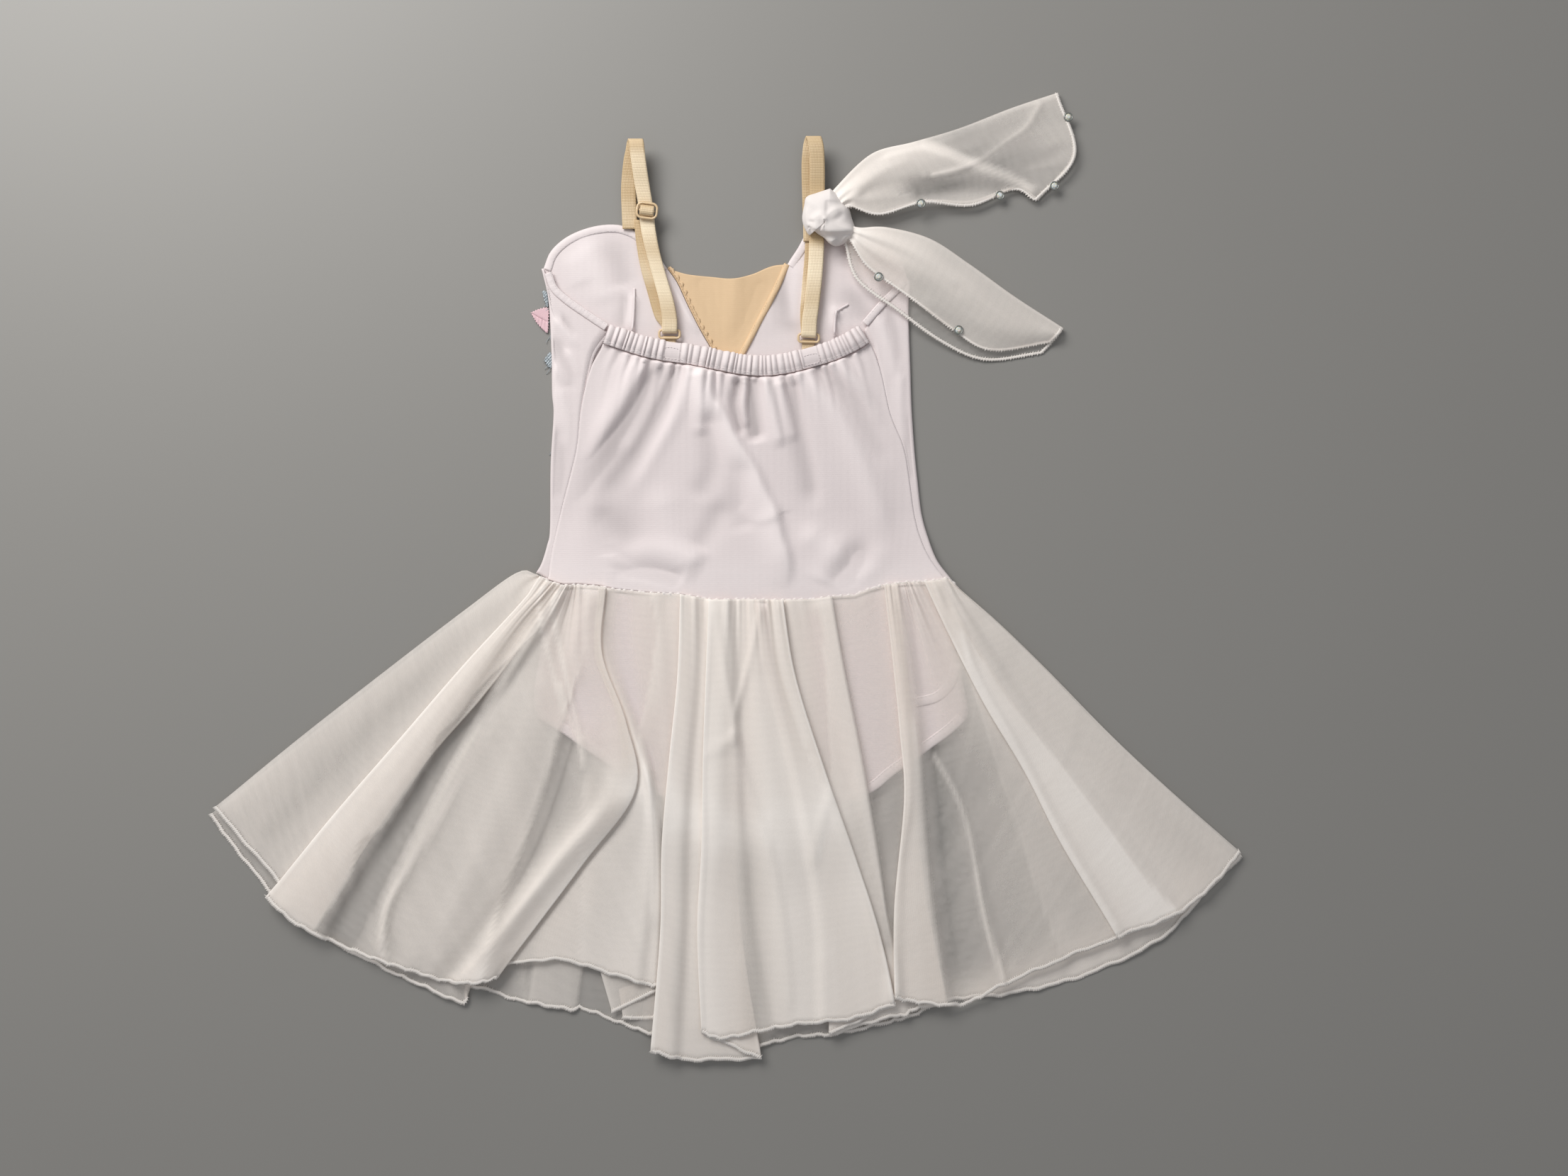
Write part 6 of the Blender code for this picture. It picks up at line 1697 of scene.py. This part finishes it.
# ---------------------------------------------------------------- bow
@dataclass
class Bow:
    """A chiffon scarf knotted round the right strap, with two doubled tails and crystals."""

    rows: int = 110
    cuts: int = 14
    knot_middle: tuple[float, float] = (57.0, 263.5)
    knot_top: float = 16.2
    stone: float = 0.00255       # radius in metres
    tail_cut: tuple[float, float] = (0.17, 0.14)
    tail_length: float = 150.0
    bulge: float = 1.1           # of the fold along a tail's upper edge
    upper_cover: float = 0.36    # share of the light that each layer stops
    lower_cover: float = 0.07
    lowest: float = 0.6

    def build(self, serged: Trim) -> None:
        """Makes the knot, the tails with their hems and the crystals."""
        self.knot()
        tops = [self.tail("tail_upper", UPPER_TAIL, UPPER_CREASES, UPPER_MARKS, serged),
                self.tail("tail_lower", LOWER_TAIL, LOWER_CREASES, LOWER_MARKS, serged)]
        places = []
        for x, y in STONES:
            gaps = [np.hypot(grid[:, :, 0] - x, grid[:, :, 1] - y) for grid in tops]
            gap, grid = min(zip(gaps, tops), key=lambda pair: pair[0].min())
            places.append((x, y, grid[gap < gap.min() + 1.5][:, 2].max() + 0.9))
        stone_tree(True).grow("crystal_rims", np.array(places), RIM, joined=False, Radius=self.stone * 1.12)
        stone_tree(False).grow("crystals", np.array(places) - (0, 0, 0.35), CRYSTAL, joined=False,
                               Radius=self.stone)

    def knot(self) -> None:
        """The knot: flat wraps folded over each other, one closed body over the strap."""
        rim = ring(KNOT_RIM, 216)
        share = (np.linspace(0.02, 1, 60) ** 0.8)[:, None]
        flat = np.array(self.knot_middle) + (rim - self.knot_middle) * share[:, :, None]
        under = 3.6 + 5.8 * ease((20 - np.abs(flat[:, :, 0] - 46)) / 8)
        folds = relief(flat, KNOT_FOLDS) * ease((1 - share) * 6)
        top = under + 0.3 + (self.knot_top - under) * (1 - share ** 2.8) ** 0.55 + folds
        rows, sides = under.shape
        skin = grid_faces(rows, sides, round_columns=True)
        below, last = rows * sides, (rows - 1) * sides
        faces = skin + [[below + k for k in face[::-1]] for face in skin]
        faces += [(last + c, last + (c + 1) % sides, below + last + (c + 1) % sides, below + last + c)
                  for c in range(sides)]
        faces += [range(sides - 1, -1, -1), range(below, below + sides)]
        verts = np.concatenate([np.dstack([flat, z]).reshape(-1, 3) for z in (top, under)])
        knot = mesh_object("knot_wraps", place(verts), faces)
        turn_outward(knot)
        settle(knot, WRAPPED, "knot")

    def tail(self, node: str, lines: list[list], folds: list[Crease], dense: list[Crease], serged: Trim
             ) -> np.ndarray:
        """A doubled tail, folded along its upper edge.

        Args:
            node: The CAD node that it stands for.
            lines: Its fold lines, with heights near the knot and at the hem.
            folds: Creases of both layers.
            dense: Where the upper layer stops more or less light.
            serged: The tree that makes the hem.
        Returns:
            The grid of its middle points.
        """
        v = np.linspace(0, 1, self.rows)
        far_share = ease((v - 0.3) / 0.6)
        tracks = np.array([raised(along(points, v), between(float(near), float(far), far_share))
                           for _name, near, far, points in lines])
        lower, upper = (bend(half.reshape(3, -1), self.cuts).reshape(-1, self.rows, 3).transpose(1, 0, 2)
                        for half in (tracks[:3], tracks[3:]))
        turned = rounded(lower[:, -1], upper[:, 0], outward(lower) * self.bulge, np.radians((40, 90, 140)))
        down = v[:, None]
        for block, share in ((lower, 0.35), (upper, 1.0)):
            u = np.linspace(0, 1, block.shape[1])
            fan = np.sin(u * 19 + 2) * np.exp(-down / 0.16) * 0.6
            wave = np.sin(down * 19) * between(0.1, 0.4, u)
            block[:, :, 2] += share * (relief(block, folds) + fan + wave)
        grid = np.concatenate([lower, turned, upper], axis=1)
        grid[:, :, 2] = np.maximum(grid[:, :, 2], self.lowest)
        rim = np.vstack([grid[:-1, 0], grid[-1], grid[-2::-1, -1]])
        edge = np.minimum((1 - down) * self.tail_length, np.minimum(
            np.linalg.norm(grid - grid[:, :1], axis=2),
            np.linalg.norm(grid - grid[:, -1:], axis=2)))
        column = np.arange(grid.shape[1])
        fold = np.exp(-((column - lower.shape[1] - 1) / 1.6) ** 2)
        over = column > lower.shape[1]
        plain = np.where(over, self.upper_cover, self.lower_cover)
        cover = plain + 0.2 * fold + 0.5 * np.exp(-down / 0.1) + relief(grid, dense) * over
        piece = settle(cloth(node + "_cloth", grid, CHIFFON_WALL, edge=edge / 1000,
                             cover=np.clip(cover, 0.03, 0.95)), CHIFFON, node)
        inward = grid.mean((0, 1)) - rim
        inward /= np.linalg.norm(inward, axis=1)[:, None]
        hem = serged.grow(node + "_hem", rim + inward * (1.3, 1.3, 0), THREAD, Width=0.0038, Height=0.0010,
                          Spacing=0.0019, Slant=0.4)
        return grid


# ---------------------------------------------------------------- flower
@dataclass
class Flower:
    """What shows past the left side of a flower that is sewn on the front."""

    teeth: int = 26
    rings: int = 9
    wall: float = 0.5
    thread: float = 0.16

    def build(self) -> None:
        """Makes the petal, the lace and its loose threads."""
        tooth = 0.9 * (np.abs((np.arange(self.teeth * 4) % 4) - 2) / 2 - 0.5)
        self.scrap("flower_petal_felt", PETAL, tooth, self.veined, FELT, "flower_petal")
        count = np.arange(60)
        jag = 0.5 * np.sin(count * 2.4) + 0.3 * np.sin(count * 5.1)
        for node, points in (("lace_upper", LACE_UPPER), ("lace_lower", LACE_LOWER)):
            self.scrap(node + "_net", points, jag, self.crumpled, LACE, node)
        t = np.linspace(0, 1, 14)
        for n, (x0, y0, x1, y1) in enumerate(LACE_THREADS):
            curl = 0.9 * np.sin(t * 5 + n)
            path = np.column_stack([between(x0, x1, t) + curl * 0.6, between(y0, y1, t) + curl,
                                    0.9 + 0.5 * np.sin(t * 4 + n)])
            settle(tube(f"lace_thread_{n + 1}", path, wire(self.thread)), LACE)

    def veined(self, flat: np.ndarray) -> np.ndarray:
        """Height of felt with pressed veins."""
        veins = [Crease(0.7, 0.7, -0.5, -0.4, spots("-152,196 -141,190"))] + [
            Crease(0.5, 0.5, -0.35, -0.2, [(-149 + 2.2 * k, 194.4 - 1.2 * k),
                                           (-149.5 + 2.2 * k, 189 - 0.8 * k)]) for k in range(4)]
        return 1.1 + relief(flat, veins)

    def crumpled(self, flat: np.ndarray) -> np.ndarray:
        """Height of crumpled lace."""
        return 1.0 + 0.35 * np.sin(flat[:, :, 0] * 3.1) * np.sin(flat[:, :, 1] * 2.7)

    def scrap(self, name: str, points: Spots, jag: np.ndarray, rise: Callable[[np.ndarray], np.ndarray],
              finish: Finish, node: str) -> None:
        """A thin scrap with a ragged edge: rings from its middle to its outline."""
        outline = ring(points, len(jag))
        away = outline - outline.mean(0)
        outline = outline + away / np.linalg.norm(away, axis=1)[:, None] * jag[:, None]
        middle = outline.mean(0)
        shares = np.maximum(0.02, np.linspace(0, 1, self.rings))
        flat = middle + (outline - middle) * shares[:, None, None]
        grid = np.dstack([flat, rise(flat)])
        settle(cloth(name, np.concatenate([grid, grid[:, :1]], axis=1), self.wall), finish, node)


# ---------------------------------------------------------------- studio
@dataclass
class Studio:
    """Plain floor, soft light from the upper left and a camera straight above."""

    centre: tuple[float, float] = (0.041, -0.00802)
    view_width: float = 1.106
    height: float = 1.0
    sensor: float = 36.0
    floor_half: float = 6.0
    floor_tone: Tone = (0.27, 0.262, 0.248)

    def build(self) -> None:
        """Makes the floor, lights, world and camera."""
        self.floor()
        self.lights()
        self.camera()

    def floor(self) -> None:
        """A wide sheet of matt paper."""
        half = self.floor_half
        corners = [(-half, -half, 0), (half, -half, 0), (half, half, 0), (-half, half, 0)]
        floor = mesh_object("floor", corners, [(0, 1, 2, 3)], smooth=False)
        paper = bpy.data.materials.new("studio_floor")
        paper.use_nodes = True
        graph = Graph(paper.node_tree)
        shader = paper.node_tree.nodes["Principled BSDF"]
        cloud = graph.noise(graph.spot(), 3.0, 2.0)
        dark = tuple(0.96 * channel for channel in self.floor_tone)
        tone = graph.blend(cloud, (*self.floor_tone, 1), (*dark, 1))
        graph.tree.links.new(tone, shader.inputs["Base Color"])
        shader.inputs["Roughness"].default_value = 0.5
        shader.inputs["Specular IOR Level"].default_value = 0.5
        floor.data.materials.append(paper)

    def lights(self) -> None:
        """A large soft lamp at the upper left, a weak one at the right, and an even sky."""
        for name, spot, size, power in (("key_lamp", (-0.75, 1.1, 1.05), (1.3, 0.7), 27.0),
                                        ("fill_lamp", (0.8, -0.5, 1.9), (1.6, 1.6), 2.0)):
            lamp = bpy.data.lights.new(name, "AREA")
            lamp.shape, lamp.energy = "RECTANGLE", power
            lamp.size, lamp.size_y = size
            lamp.color = (1.0, 0.985, 0.96)
            obj = put(name, lamp)
            obj.location = spot
            aim = Vector((0.0, -0.05, 0.0)) - Vector(spot)
            obj.rotation_euler = aim.to_track_quat("-Z", "Y").to_euler()
        world = bpy.context.scene.world or bpy.data.worlds.new("studio")
        bpy.context.scene.world = world
        world.use_nodes = True
        sky = world.node_tree.nodes["Background"]
        sky.inputs["Color"].default_value = (0.95, 0.97, 1.0, 1)
        sky.inputs["Strength"].default_value = 0.33

    def camera(self) -> None:
        """A camera that looks straight down on the laid-out dress."""
        view = bpy.data.cameras.new("camera")
        view.sensor_width = self.sensor
        view.lens = self.sensor * self.height / self.view_width
        obj = put("camera", view)
        obj.location = (*self.centre, self.height)
        scene = bpy.context.scene
        scene.camera = obj
        scene.cycles.transparent_max_bounces = 32
        scene.cycles.diffuse_bounces = 8
        scene.view_settings.view_transform = "Standard"


def main() -> None:
    """Builds every sub-assembly."""
    logging.basicConfig(level=logging.INFO, format="%(name)s %(message)s")
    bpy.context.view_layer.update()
    Studio().build()
    serged, stitches = serged_tree(), stitch_tree()
    Skirt().build(serged)
    Leotard().build(stitches)
    Edges().build(stitches)
    Straps().build()
    Bow().build(serged)
    Flower().build()


if __name__ == "__main__":
    main()
